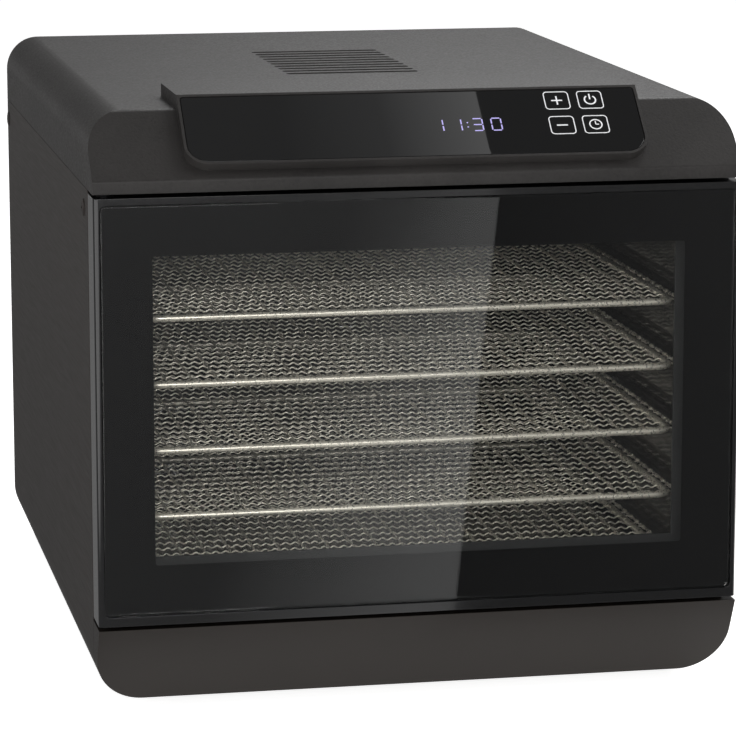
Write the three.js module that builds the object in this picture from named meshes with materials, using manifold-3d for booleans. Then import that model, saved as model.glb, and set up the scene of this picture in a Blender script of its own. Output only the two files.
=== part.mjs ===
// Food dehydrator: a steel cabinet with a hinged glass door, five sliding
// mesh trays, a touch console on the lid, and a fan and heater at the back.
// Millimetres. +X right, +Y to the back, +Z up, seen from the door side.
// The model is drawn with Y = 0 at the door's outer face and Z = 0 at the
// floor, and the last group centres it on the origin.

import * as THREE from "three";
import { mergeVertices } from "three/addons/utils/BufferGeometryUtils.js";
import Module from "manifold-3d";

const wasm = await Module();
wasm.setup();

// ---------------------------------------------------------------- sizes

const GAP = 0.3; // between pieces that touch
const OVER = 1; // how far a cutter runs past what it cuts

// cabinet
const WIDTH = 345;
const DEPTH = 440; // door face to rear panel
const SHEET = 0.8; // steel of the cabinet and the chamber
const BOTTOM_RADIUS = 25.6;
const FOOT_HEIGHT = 6;
const FOOT_RADIUS = 11;
const FOOT_INSET_X = 42;
const FOOT_INSET_Y = 58;
const FOOT_CHAMFER = 1;

// base fascia
const BASE_HEIGHT = 43.5;
const BASE_WALL = 2.2;
const BASE_EDGE_RADIUS = 1.2;

// door
const DOOR_GAP_BELOW = 2;
const DOOR_GAP_ABOVE = 1.7;
const DOOR_HEIGHT = 225.6;
const DOOR_THICKNESS = 24;
const DOOR_EDGE_RADIUS = 3;
const GLASS_BORDER_SIDE = 3.4;
const GLASS_BORDER_TOP = 4;
const GLASS_BORDER_BOTTOM = 5.3;
const GLASS_THICKNESS = 4;
const GLASS_CORNER = 3;
const DOOR_RING_WIDTH = 22.5; // solid border of the frame
const RETAINER_DEPTH = 2.2;
const RETAINER_LAP = 7; // how far the retainer covers the frame's opening
const WINDOW_SIDE = 30.5; // door's side edges to the window
const WINDOW_BELOW = 31.4; // door's lower edge to the window
const WINDOW_ABOVE = 31; // window to the door's upper edge
const SEAL_WIDTH = 3;
const SEAL_MARGIN = 3.5; // chamber mouth to the seal
const DOOR_TO_FRAME = 2.8; // room for the seal and the magnets
const DOOR_TO_WRAP = 0.8; // room for the door's corner to swing

// door hinge: a vertical pin near the left edge
const HINGE_INSET = 7.5;
const PIN_RADIUS = 2.5;
const PIN_REACH = 10; // into the door
const PIN_HEAD_RADIUS = 4;
const PIN_HEAD = 1.5;
const BUSH_WALL = 1.9;
const BUSH_BEYOND_PIN = 1;

// door catch
const MAGNET_WIDTH = 7;
const MAGNET_HEIGHT = 24;
const MAGNET_THICKNESS = 2.1;
const CATCH_HEIGHTS = [62, 164]; // above the door's lower edge
const STRIKER_THICKNESS = 0.8;

// lid
const LID_HEIGHT = 39.1;
const LID_FRONT = 3; // set back from the door's face
const LID_LIP = 6.6;
const LID_SLOPE_DEPTH = 36.4;
const LID_RADIUS = 20;
const LID_WALL = 2;
const LID_LIP_RADIUS = 3;
const LID_SHOULDER_RADIUS = 5;
const LID_BACK_RADIUS = 3;
const RAIL_THICKNESS = 2; // panel that closes the lid over the door
const RAIL_BEHIND_FRAME = 20;
const VENT_COUNT = 10;
const VENT_PITCH = 13.3;
const VENT_LENGTH = 76;
const VENT_WIDTH = 6.6;
const VENT_FRONT = 191;

// console on the lid's slope
const CONSOLE_SIDE = 49; // cabinet's sides to the console
const CONSOLE_PROUD = 5;
const CONSOLE_FOOT = 6; // up the slope, lip to the console's lower edge
const CONSOLE_BACK = 100;
const CONSOLE_RISE = 7.2; // above the lid's top
const CONSOLE_RADIUS = 13;
const CONSOLE_BACK_RADIUS = 4.3;
const CONSOLE_FACE_WALL = 3.2;
const CONSOLE_RIM = 1.8;
const TOUCH_GLASS = 1.2;
const TOUCH_RECESS = 1.6;
const KEYBOARD_LEFT = 6; // opening behind the touch glass
const KEYBOARD_RIGHT = 110;
const KEYBOARD_MARGIN = 8; // console's edges to that opening, along the slope
const MODULE_THICKNESS = 4;
const BOARD_THICKNESS = 1.6;
const BOARD_PAST_LEFT = 20; // control board past the opening behind the glass
const BOARD_PAST_RIGHT = 5;
const BOARD_FROM_FOOT = 5;
const BOARD_FROM_HEAD = 6;

// chamber
const CHAMBER_SIDE = 17.5; // cabinet's sides to the chamber
const CHAMBER_ABOVE_DOOR_EDGE = 9.5; // door's lower edge to the chamber floor
const CHAMBER_BELOW_DOOR_TOP = 14.1; // chamber roof to the door's upper edge
const TRAY_COUNT = 5;
const TRAY_PITCH = 35.4;
const TRAY_SIDE = 5; // chamber walls to the tray
const TRAY_THICKNESS = 3;
const TRAY_FIRST = 6; // chamber floor to the middle of the lowest tray
const TRAY_SETBACK = 4.5; // door's inner face to the tray
const TRAY_BORDER = 4;
const TRAY_CELLS_X = 2;
const TRAY_CELLS_Y = 7;
const LEDGE_THICKNESS = 1.6;
const LEDGE_LAP = 3.5; // ledge under the tray's edge
const BAFFLE_THICKNESS = 1.2;
const FAN_SPACE = 56; // baffle to motor bracket
const BAFFLE_COLUMNS = 3;
const BAFFLE_ROWS = 6;
const BAFFLE_BAR = 25; // solid strip between two columns of slots
const BAFFLE_SLOT = 11.5;
const DUCT_WALL = 1.5;
const DUCT_MARGIN = 7; // lid vents to the outside of the duct

// fan, motor and heater, on one axis
const FAN_RADIUS = 75;
const FAN_HUB_RADIUS = 14;
const FAN_DEPTH = 14;
const FAN_BLADES = 5;
const FAN_PITCH = THREE.MathUtils.degToRad(28);
const FAN_TO_BRACKET = 8;
const BLADE_THICKNESS = 1.2;
const BLADE_CHORD = 25.2;
const BLADE_ROOT = 2; // blade inside the hub
const NUT_WALL = 4;
const NUT_AHEAD = 4; // shaft in front of the hub
const NUT_CAP = 2;
const SHAFT_RADIUS = 3;
const MOTOR_RADIUS = 30;
const MOTOR_LENGTH = 36;
const MOTOR_BOSS = 4;
const MOTOR_TO_PANEL = 8.7; // room behind the motor
const HEATER_OUTSIDE_FAN = 13; // fan's tips to the heater ring
const HEATER_TUBE = 3.4;
const HEATER_LEG_SPREAD = 10;
const HEATER_AHEAD = 40; // bracket to the heater ring
const HEATER_LEG_BEHIND = 12; // leg behind the bracket's face
const HEATER_LEG_CLEARANCE = 1;
const HOLDER_WIDTH = 16;
const HOLDER_THICKNESS = 1.5;
const HOLDER_CLEARANCE = 2;
const HOLDER_TAB = 14;
const BRACKET_HOLES = 6;
const BRACKET_HOLE_RADIUS = 16;
const CUTOUT_X = 100;
const CUTOUT_ABOVE_FAN = 70;
const CUTOUT_RADIUS = 8;
const CUTOUT_LENGTH = 7;
const PROBE_X = 110;
const PROBE_RADIUS = 3;
const PROBE_LENGTH = 36;
const PROBE_BELOW_ROOF = 30;
const PROBE_TIP = 2;
const PROBE_BEHIND_BAFFLE = 12;

// rear
const PANEL = 1; // steel of the rear panel, front frame and motor bracket
const FLANGE_DEPTH = 10;
const GLAND_PROUD = 10;
const GLAND_RADIUS = 9;
const GLAND_NECK = 6;
const GLAND_BORE = 3.6;
const GLAND_FLANGE = 3;
const GLAND_INSIDE = 5;
const GLAND_FROM_CURVE = 15; // bottom corner's curve to the gland
const TERMINAL_WIDTH = 32;
const TERMINAL_LENGTH = 30;
const TERMINAL_HEIGHT = 18;
const TERMINAL_TO_PANEL = 16;
const INTAKE_SLOTS = 9;
const INTAKE_PITCH = 11;
const INTAKE_LENGTH = 104;
const INTAKE_WIDTH = 5;

// screws
const SCREW_RADIUS = 4.7;
const SCREW_DOME = 1.2;
const SCREW_SHANK = 1.7;
const SCREW_LENGTH = 6;
const SIDE_SCREW_FRONT = 41; // door face to the front screws
const SIDE_SCREW_FROM_BACK = 8;
const SIDE_SCREW_BELOW_LID = 11.5;
const REAR_SCREW_FROM_SIDE = 22;
const REAR_SCREW_BELOW_LID = 24;
const REAR_SCREW_ABOVE_BOTTOM = 34;

// power board: its own size, then what stands on it
const POWER_BOARD_WIDTH = 80;
const POWER_BOARD_LENGTH = 120;
const POWER_BOARD_FROM_DUCT = 18;
const POWER_BOARD_ABOVE_ROOF = 8;
const COMPONENT_SUNK = 0.6; // component's foot inside the board
const TRANSFORMER = { x: 10, y: 14, width: 30, length: 36, height: 24.4 };
const RELAY = { x: 50, y: 20, width: 16, length: 22, height: 14.4 };
const CAPACITOR = { x: 22, y: 80, radius: 9, height: 22.4 };

// ------------------------------------------------------- derived places

const HALF = WIDTH / 2;
const BODY_Z = FOOT_HEIGHT;
const BASE_TOP = BODY_Z + BASE_HEIGHT;
const DOOR_Z = BASE_TOP + DOOR_GAP_BELOW;
const DOOR_TOP = DOOR_Z + DOOR_HEIGHT;
const LID_Z = DOOR_TOP + DOOR_GAP_ABOVE;
const LID_TOP = LID_Z + LID_HEIGHT;

const BASE_UNDERCUT = DOOR_THICKNESS; // the fascia's foot ends below the door's back
const WRAP_FRONT = DOOR_THICKNESS + DOOR_TO_WRAP;
const FRAME_Y = DOOR_THICKNESS + DOOR_TO_FRAME;
const LINER_Y = FRAME_Y + PANEL + GAP;
const CHAMBER_WIDTH = WIDTH - 2 * CHAMBER_SIDE;
const CHAMBER_HALF = CHAMBER_WIDTH / 2;
const CHAMBER_HEIGHT = DOOR_HEIGHT - CHAMBER_ABOVE_DOOR_EDGE - CHAMBER_BELOW_DOOR_TOP;
const FLOOR_Z = DOOR_Z + CHAMBER_ABOVE_DOOR_EDGE;
const ROOF_Z = FLOOR_Z + CHAMBER_HEIGHT;
const FAN_Z = (FLOOR_Z + ROOF_Z) / 2;

// from the rear panel forwards: motor, its bracket, fan and heater, baffle, trays
const PANEL_Y = DEPTH - PANEL;
const MOTOR_Y = PANEL_Y - MOTOR_TO_PANEL - MOTOR_BOSS - MOTOR_LENGTH;
const BRACKET_Y = MOTOR_Y - GAP - PANEL;
const BAFFLE_Y = BRACKET_Y - FAN_SPACE - BAFFLE_THICKNESS;
const TRAY_Y = DOOR_THICKNESS + TRAY_SETBACK;
const TRAY_LENGTH = BAFFLE_Y - 2 * GAP - TRAY_Y;
const TRAY_WIDTH = CHAMBER_WIDTH - 2 * TRAY_SIDE;
const HEATER_RADIUS = FAN_RADIUS + HEATER_OUTSIDE_FAN;
const WINDOW_HALF_WIDTH = HALF - WINDOW_SIDE;
const CONSOLE_WIDTH = WIDTH - 2 * CONSOLE_SIDE;
const VENT_DEPTH = VENT_COUNT * VENT_PITCH;
const CUTOUT_Z = FAN_Z + CUTOUT_ABOVE_FAN;
const PROBE_Y = BAFFLE_Y + BAFFLE_THICKNESS + PROBE_BEHIND_BAFFLE;
const GLAND_X = HALF - BOTTOM_RADIUS - GLAND_FROM_CURVE;
const GLAND_Z = BODY_Z + BOTTOM_RADIUS;
const SIDE_SCREW_REAR = DEPTH - SIDE_SCREW_FROM_BACK;
const SIDE_SCREW_Z = LID_Z - SIDE_SCREW_BELOW_LID;

const HINGE_X = -HALF + HINGE_INSET;
const HINGE_Y = DOOR_THICKNESS / 2;

// the lid's slope: where it starts, how it leans, and the console on it
const SLOPE_RISE = LID_HEIGHT - LID_LIP;
const SLOPE_ANGLE = Math.atan2(SLOPE_RISE, LID_SLOPE_DEPTH);
// the console's face meets its top this far up the slope
const CONSOLE_REACH =
  (SLOPE_RISE + CONSOLE_RISE - CONSOLE_PROUD * Math.cos(SLOPE_ANGLE)) /
  Math.sin(SLOPE_ANGLE);

// ------------------------------------------------------------ materials

const finish = (color, roughness, metalness = 0) =>
  new THREE.MeshStandardMaterial({ color, roughness, metalness });
const PAINTED = finish(0x35312e, 0.45, 0.4);
const LID_PLASTIC = finish(0x3a3836, 0.5);
const FASCIA = finish(0x35312e, 0.4);
const DOOR_BLACK = finish(0x141414, 0.25);
const GLASS = finish(0x202326, 0.05);
const BLACK_GLASS = finish(0x060608, 0.06);
const LINER = finish(0x1a1816, 0.3, 0.4);
const STEEL = finish(0xc9c7c2, 0.25, 1);
const RUBBER = finish(0x161616, 0.9);
const PLASTIC = finish(0x1c1c1c, 0.6);
const BOARD = finish(0x1d4a2c, 0.6);
const HEATER_STEEL = finish(0x77706a, 0.4, 1);

// ------------------------------------------------------- shape helpers

// a three.js geometry as a manifold solid
function solid(geometry) {
  const bare = geometry.clone();
  bare.deleteAttribute("normal");
  bare.deleteAttribute("uv");
  const merged = mergeVertices(bare, 1e-4);
  const vertProperties = new Float32Array(merged.attributes.position.array);
  const triVerts = new Uint32Array(merged.index.array);
  return new wasm.Manifold(
    new wasm.Mesh({ numProp: 3, vertProperties, triVerts }),
  );
}

// a manifold solid as a three.js geometry
function surface(body) {
  const mesh = body.getMesh();
  const geometry = new THREE.BufferGeometry();
  geometry.setAttribute(
    "position",
    new THREE.BufferAttribute(new Float32Array(mesh.vertProperties), 3),
  );
  geometry.setIndex(new THREE.BufferAttribute(new Uint32Array(mesh.triVerts), 1));
  geometry.computeVertexNormals();
  return geometry;
}

const join = (first, ...rest) => rest.reduce((a, b) => a.add(b), first);
const cut = (first, ...rest) => rest.reduce((a, b) => a.subtract(b), first);

// a box from its low and high corners
function block([x0, y0, z0], [x1, y1, z1]) {
  const geometry = new THREE.BoxGeometry(x1 - x0, y1 - y0, z1 - z0);
  geometry.translate((x0 + x1) / 2, (y0 + y1) / 2, (z0 + z1) / 2);
  return solid(geometry);
}

// a polygon with rounded corners, from [x, y, radius] corners in turn
function outline(corners) {
  const shape = new THREE.Shape();
  corners.forEach(([x, y, radius = 0], i) => {
    const at = new THREE.Vector2(x, y);
    const [px, py] = corners.at(i - 1);
    const [nx, ny] = corners[(i + 1) % corners.length];
    const back = new THREE.Vector2(px, py).sub(at).normalize();
    const on = new THREE.Vector2(nx, ny).sub(at).normalize();
    const go = i === 0 ? "moveTo" : "lineTo";
    if (radius === 0) {
      shape[go](x, y);
      return;
    }
    const half = Math.acos(THREE.MathUtils.clamp(back.dot(on), -1, 1)) / 2;
    const run = radius / Math.tan(half);
    const start = at.clone().addScaledVector(back, run);
    const end = at.clone().addScaledVector(on, run);
    const middle = back.clone().add(on).normalize();
    const centre = at.clone().addScaledVector(middle, radius / Math.sin(half));
    const a0 = Math.atan2(start.y - centre.y, start.x - centre.x);
    const a1 = Math.atan2(end.y - centre.y, end.x - centre.x);
    const clockwise = back.cross(on) > 0;
    shape[go](start.x, start.y);
    shape.absarc(centre.x, centre.y, radius, a0, a1, clockwise);
  });
  return shape;
}

// a rectangle with its lower and upper corners rounded
function plate(x0, x1, y0, y1, lower = 0, upper = lower) {
  return outline([
    [x0, y0, lower],
    [x1, y0, lower],
    [x1, y1, upper],
    [x0, y1, upper],
  ]);
}

const extrude = (shape, depth, curveSegments) =>
  new THREE.ExtrudeGeometry(shape, { depth, curveSegments, bevelEnabled: false });

// shapes drawn in XZ, pushed along Y; in YZ, along X; in XY, along Z
function alongY(shape, y0, y1, segments = 6) {
  const geometry = extrude(shape, y1 - y0, segments);
  geometry.rotateX(Math.PI / 2);
  geometry.translate(0, y1, 0);
  return solid(geometry);
}

function alongX(shape, x0, x1, segments = 4) {
  const geometry = extrude(shape, x1 - x0, segments);
  const [x, y, z] = [[1, 0, 0], [0, 1, 0], [0, 0, 1]].map((v) => new THREE.Vector3(...v));
  geometry.applyMatrix4(new THREE.Matrix4().makeBasis(y, z, x));
  geometry.translate(x0, 0, 0);
  return solid(geometry);
}

function alongZ(shape, z0, z1, segments = 4) {
  const geometry = extrude(shape, z1 - z0, segments);
  geometry.translate(0, 0, z0);
  return solid(geometry);
}

// a round bar between two heights of its own axis, turned onto x, y or z
function bar(axis, [x, y, z], radius, low, high, sides = 24) {
  const geometry = new THREE.CylinderGeometry(radius, radius, high - low, sides);
  geometry.translate(0, (low + high) / 2, 0);
  if (axis === "z") geometry.rotateX(Math.PI / 2);
  if (axis === "x") geometry.rotateZ(-Math.PI / 2);
  geometry.translate(x, y, z);
  return solid(geometry);
}

// a turned piece from its [radius, height] profile, standing on z = 0
function turned(profile, sides = 16) {
  const points = profile.map(([r, h]) => new THREE.Vector2(r, h));
  const geometry = new THREE.LatheGeometry(points, sides);
  geometry.rotateX(Math.PI / 2);
  return geometry;
}

function piece(name, shape, material) {
  const geometry = shape.isBufferGeometry ? shape : surface(shape);
  const mesh = new THREE.Mesh(geometry, material);
  mesh.name = name;
  return mesh;
}

// moves a body drawn on the lid's slope (x, up the slope, out of the slope)
// into the lid's own frame
function onSlope(body) {
  return body
    .rotate([THREE.MathUtils.radToDeg(SLOPE_ANGLE), 0, 0])
    .translate([0, LID_FRONT, LID_LIP]);
}

// --------------------------------------------------------------- casing

// front view of the body below the lid, inset by a wall
function bodyOutline(inset, top) {
  return plate(
    -HALF + inset,
    HALF - inset,
    BODY_Z + inset,
    top,
    BOTTOM_RADIUS - inset,
    0,
  );
}

function sideWrap() {
  const top = LID_Z - GAP;
  const back = PANEL_Y - GAP;
  const outer = alongY(bodyOutline(0, top), WRAP_FRONT, back, 8);
  const inner = alongY(bodyOutline(SHEET, top + OVER), WRAP_FRONT - OVER, back + OVER, 8);
  return cut(outer, inner);
}

function baseFront() {
  const back = DOOR_THICKNESS + GAP;
  const lean = BASE_UNDERCUT / BASE_HEIGHT;
  const wall = BASE_WALL * Math.hypot(1, lean);
  const profile = (front, low, top, depth) =>
    outline([
      [front + lean * (BASE_TOP - top), top, BASE_EDGE_RADIUS],
      [front + lean * (BASE_TOP - low), low],
      [depth, low],
      [depth, top],
    ]);
  const outer = alongY(bodyOutline(0, BASE_TOP), 0, back, 8).intersect(
    alongX(profile(0, BODY_Z, BASE_TOP, back), -HALF, HALF),
  );
  const inner = alongY(bodyOutline(BASE_WALL, BASE_TOP - BASE_WALL), 0, 2 * back, 8).intersect(
    alongX(profile(wall, BODY_Z, BASE_TOP - BASE_WALL, back + 2 * wall), -HALF, HALF),
  );
  const holeLow = BASE_TOP - BASE_WALL - OVER;
  const pinAt = [HINGE_X, HINGE_Y, 0];
  const pinHole = bar("z", pinAt, PIN_RADIUS + GAP, holeLow, BASE_TOP + OVER);
  return cut(outer, inner, pinHole);
}

function rearPanel() {
  const top = LID_Z - GAP;
  const sheet = alongY(bodyOutline(0, top), PANEL_Y, DEPTH, 8);
  const flangeFront = PANEL_Y - FLANGE_DEPTH;
  const inset = SHEET + GAP;
  const flange = cut(
    alongY(bodyOutline(inset, top), flangeFront, DEPTH, 8),
    alongY(bodyOutline(inset + PANEL, top + OVER), flangeFront - OVER, PANEL_Y, 8),
  );
  const slots = Array.from({ length: INTAKE_SLOTS }, (_, i) => {
    const z = FAN_Z + (i - (INTAKE_SLOTS - 1) / 2) * INTAKE_PITCH;
    return block(
      [-INTAKE_LENGTH / 2, PANEL_Y - OVER, z - INTAKE_WIDTH / 2],
      [INTAKE_LENGTH / 2, DEPTH + OVER, z + INTAKE_WIDTH / 2],
    );
  });
  const glandHole = bar("y", [GLAND_X, 0, GLAND_Z], GLAND_NECK + GAP, PANEL_Y - OVER, DEPTH + OVER);
  const screwHoles = rearScrewPlaces().map(([x, z]) =>
    bar("y", [x, 0, z], SCREW_SHANK + GAP, PANEL_Y - OVER, DEPTH + OVER, 12),
  );
  const sideHoles = [-1, 1].map((side) =>
    sideScrewHole(side, SIDE_SCREW_REAR),
  );
  return cut(join(sheet, flange), ...slots, glandHole, ...screwHoles, ...sideHoles);
}

// ------------------------------------------------------------------ lid

// side view of the lid in its own frame, inset by a wall
function lidProfile(inset, low) {
  const front = LID_FRONT + inset;
  const top = LID_HEIGHT - inset;
  const slope = Math.tan(SLOPE_ANGLE);
  const drop = inset / Math.cos(SLOPE_ANGLE);
  const lip = LID_LIP + inset * slope - drop;
  const shoulder = LID_FRONT + (top + drop - LID_LIP) / slope;
  return outline([
    [front, low],
    [DEPTH - inset, low],
    [DEPTH - inset, top, LID_BACK_RADIUS],
    [shoulder, top, LID_SHOULDER_RADIUS],
    [front, lip, LID_LIP_RADIUS],
  ]);
}

// front view of the lid, inset by a wall
function lidOutline(inset, low) {
  const radius = LID_RADIUS - inset;
  return plate(-HALF + inset, HALF - inset, low, LID_HEIGHT - inset, 0, radius);
}

// the console's housing, inset by its wall on every side
function consoleBody(inset, faceInset) {
  const half = CONSOLE_WIDTH / 2 - inset;
  const front = onSlope(
    alongZ(
      plate(
        -half,
        half,
        CONSOLE_FOOT + inset,
        2 * CONSOLE_REACH,
        CONSOLE_RADIUS - inset,
        0,
      ),
      -CONSOLE_BACK,
      CONSOLE_PROUD - faceInset,
    ),
  );
  const top = LID_HEIGHT + CONSOLE_RISE - inset;
  const box = alongZ(
    plate(-half, half, 0, CONSOLE_BACK - inset, 0, CONSOLE_BACK_RADIUS),
    LID_LIP,
    top,
  );
  return front.intersect(box);
}

const GLASS_FOOT = CONSOLE_FOOT + CONSOLE_RIM;
const GLASS_HEAD = CONSOLE_REACH - CONSOLE_RIM;

// outline of the touch glass on the slope, with a clearance all round
function touchOutline(clearance) {
  const half = CONSOLE_WIDTH / 2 - CONSOLE_RIM + clearance;
  const radius = CONSOLE_RADIUS - CONSOLE_RIM + clearance;
  return plate(
    -half,
    half,
    GLASS_FOOT - clearance,
    GLASS_HEAD + clearance,
    radius,
    CONSOLE_RIM,
  );
}

const keyboardOutline = (clearance) =>
  plate(
    KEYBOARD_LEFT + clearance,
    KEYBOARD_RIGHT - clearance,
    CONSOLE_FOOT + KEYBOARD_MARGIN + clearance,
    CONSOLE_REACH - KEYBOARD_MARGIN - clearance,
  );

function topCover() {
  const outer = alongY(lidOutline(0, 0), 0, DEPTH, 8)
    .intersect(alongX(lidProfile(0, 0), -HALF, HALF))
    .add(consoleBody(0, 0));
  const inner = alongY(lidOutline(LID_WALL, -OVER), 0, DEPTH, 8)
    .intersect(alongX(lidProfile(LID_WALL, -OVER), -HALF, HALF))
    .add(consoleBody(LID_WALL, CONSOLE_FACE_WALL));
  const recess = onSlope(
    alongZ(touchOutline(GAP), CONSOLE_PROUD - TOUCH_RECESS, CONSOLE_PROUD + CONSOLE_RISE),
  );
  const keyboard = onSlope(
    alongZ(keyboardOutline(0), CONSOLE_PROUD - 2 * CONSOLE_FACE_WALL, CONSOLE_PROUD + OVER),
  );
  const slots = Array.from({ length: VENT_COUNT }, (_, i) => {
    const y = VENT_FRONT + i * VENT_PITCH;
    return block(
      [-VENT_LENGTH / 2, y, LID_HEIGHT - LID_WALL - OVER],
      [VENT_LENGTH / 2, y + VENT_WIDTH, LID_HEIGHT + OVER],
    );
  });
  return cut(outer, inner, recess, keyboard, ...slots);
}

function lidGroup() {
  const group = new THREE.Group();
  group.position.z = LID_Z;
  group.add(piece("top_cover", topCover(), LID_PLASTIC));

  // panel that closes the lid's underside over the door, with the hinge pin
  const railFront = LID_FRONT + LID_WALL + GAP;
  const railHalf = HALF - LID_WALL - GAP;
  const rail = cut(
    block([-railHalf, railFront, GAP], [railHalf, LINER_Y + RAIL_BEHIND_FRAME, GAP + RAIL_THICKNESS]),
    bar("z", [HINGE_X, HINGE_Y, 0], PIN_RADIUS + GAP, -OVER, GAP + RAIL_THICKNESS + OVER),
  );
  group.add(piece("top_rail", rail, PLASTIC));

  const slope = new THREE.Group();
  slope.position.set(0, LID_FRONT, LID_LIP);
  slope.rotation.x = SLOPE_ANGLE;
  group.add(slope);
  const glassBack = CONSOLE_PROUD - TOUCH_RECESS + GAP / 2;
  slope.add(
    piece(
      "console_glass",
      alongZ(touchOutline(0), glassBack, glassBack + TOUCH_GLASS),
      BLACK_GLASS,
    ),
  );
  const moduleTop = glassBack - GAP;
  const moduleBack = moduleTop - MODULE_THICKNESS;
  slope.add(
    piece("display_module", alongZ(keyboardOutline(GAP), moduleBack, moduleTop), PLASTIC),
  );
  const boardTop = moduleBack - GAP;
  const board = alongZ(
    plate(
      KEYBOARD_LEFT - BOARD_PAST_LEFT,
      KEYBOARD_RIGHT + BOARD_PAST_RIGHT,
      CONSOLE_FOOT + BOARD_FROM_FOOT,
      CONSOLE_REACH - BOARD_FROM_HEAD,
    ),
    boardTop - BOARD_THICKNESS,
    boardTop,
  );
  slope.add(piece("control_board", board, BOARD));
  return group;
}

// ----------------------------------------------------------------- door

// a rectangular ring in XZ between two depths
function ring(half, low, high, width, y0, y1) {
  return cut(
    alongY(plate(-half, half, low, high), y0, y1),
    alongY(plate(-half + width, half - width, low + width, high - width), y0 - OVER, y1 + OVER),
  );
}

const BUSH_RADIUS = PIN_RADIUS + GAP + BUSH_WALL;
const BUSH_LENGTH = PIN_REACH + BUSH_BEYOND_PIN;
const RETAINER_HALF = HALF - DOOR_RING_WIDTH + RETAINER_LAP;
const RETAINER_LOW = DOOR_RING_WIDTH - RETAINER_LAP;
const RETAINER_HIGH = DOOR_HEIGHT - RETAINER_LOW;
const SEAL_HALF = CHAMBER_HALF + SEAL_MARGIN + SEAL_WIDTH;
const STRIKER_X = SEAL_HALF + 2 * GAP;

function doorFrame() {
  const body = alongZ(
    plate(-HALF, HALF, 0, DOOR_THICKNESS, DOOR_EDGE_RADIUS, DOOR_EDGE_RADIUS / 2),
    0,
    DOOR_HEIGHT,
  );
  const pocket = alongY(
    plate(
      -HALF + GLASS_BORDER_SIDE - GAP,
      HALF - GLASS_BORDER_SIDE + GAP,
      GLASS_BORDER_BOTTOM - GAP,
      DOOR_HEIGHT - GLASS_BORDER_TOP + GAP,
      GLASS_CORNER,
    ),
    -OVER,
    GLASS_THICKNESS + GAP,
  );
  const opening = alongY(
    plate(
      -HALF + DOOR_RING_WIDTH,
      HALF - DOOR_RING_WIDTH,
      DOOR_RING_WIDTH,
      DOOR_HEIGHT - DOOR_RING_WIDTH,
    ),
    0,
    DOOR_THICKNESS + OVER,
  );
  const rebate = alongY(
    plate(
      -RETAINER_HALF - GAP,
      RETAINER_HALF + GAP,
      RETAINER_LOW - GAP,
      RETAINER_HIGH + GAP,
    ),
    DOOR_THICKNESS - RETAINER_DEPTH,
    DOOR_THICKNESS + OVER,
  );
  const bushHoles = [
    [-OVER, BUSH_LENGTH + GAP],
    [DOOR_HEIGHT - BUSH_LENGTH - GAP, DOOR_HEIGHT + OVER],
  ].map(([low, high]) => bar("z", [HINGE_X, HINGE_Y, 0], BUSH_RADIUS + GAP, low, high));
  const strikerPockets = CATCH_HEIGHTS.map((z) =>
    block(
      [STRIKER_X - GAP, DOOR_THICKNESS - STRIKER_THICKNESS - GAP, z - MAGNET_HEIGHT / 2 - GAP],
      [STRIKER_X + MAGNET_WIDTH + GAP, DOOR_THICKNESS + OVER, z + MAGNET_HEIGHT / 2 + GAP],
    ),
  );
  return cut(body, pocket, opening, rebate, ...bushHoles, ...strikerPockets);
}

function doorGroup() {
  const group = new THREE.Group();
  group.position.z = DOOR_Z;
  group.add(piece("door_frame", doorFrame(), DOOR_BLACK));

  const glass = alongY(
    plate(
      -HALF + GLASS_BORDER_SIDE,
      HALF - GLASS_BORDER_SIDE,
      GLASS_BORDER_BOTTOM,
      DOOR_HEIGHT - GLASS_BORDER_TOP,
      GLASS_CORNER,
    ),
    0,
    GLASS_THICKNESS,
  );
  group.add(piece("door_glass", glass, GLASS));

  const retainer = cut(
    alongY(
      plate(-RETAINER_HALF, RETAINER_HALF, RETAINER_LOW, RETAINER_HIGH),
      DOOR_THICKNESS - RETAINER_DEPTH + GAP,
      DOOR_THICKNESS - GAP,
    ),
    alongY(
      plate(
        -WINDOW_HALF_WIDTH,
        WINDOW_HALF_WIDTH,
        WINDOW_BELOW,
        DOOR_HEIGHT - WINDOW_ABOVE,
      ),
      0,
      DOOR_THICKNESS + OVER,
    ),
  );
  group.add(piece("door_retainer", retainer, PLASTIC));

  const seal = ring(
    SEAL_HALF,
    FLOOR_Z - DOOR_Z - SEAL_MARGIN - SEAL_WIDTH,
    ROOF_Z - DOOR_Z + SEAL_MARGIN + SEAL_WIDTH,
    SEAL_WIDTH,
    DOOR_THICKNESS + GAP / 2,
    FRAME_Y - GAP,
  );
  group.add(piece("door_seal", seal, RUBBER));

  const bushBody = () =>
    surface(
      cut(
        bar("z", [0, 0, 0], BUSH_RADIUS, 0, BUSH_LENGTH),
        bar("z", [0, 0, 0], PIN_RADIUS + GAP, -OVER, BUSH_LENGTH + OVER),
      ),
    );
  const bushHeights = { lower: 0, upper: DOOR_HEIGHT - BUSH_LENGTH };
  for (const [end, z] of Object.entries(bushHeights)) {
    const bush = piece(`hinge_bush_${end}`, bushBody(), PLASTIC);
    bush.position.set(HINGE_X, HINGE_Y, z);
    group.add(bush);
  }

  CATCH_HEIGHTS.forEach((z, i) => {
    const striker = new THREE.BoxGeometry(MAGNET_WIDTH, STRIKER_THICKNESS, MAGNET_HEIGHT);
    const mesh = piece(`striker_${["lower", "upper"][i]}`, striker, STEEL);
    mesh.position.set(
      STRIKER_X + MAGNET_WIDTH / 2,
      DOOR_THICKNESS - STRIKER_THICKNESS / 2,
      z,
    );
    group.add(mesh);
  });
  return group;
}

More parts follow.
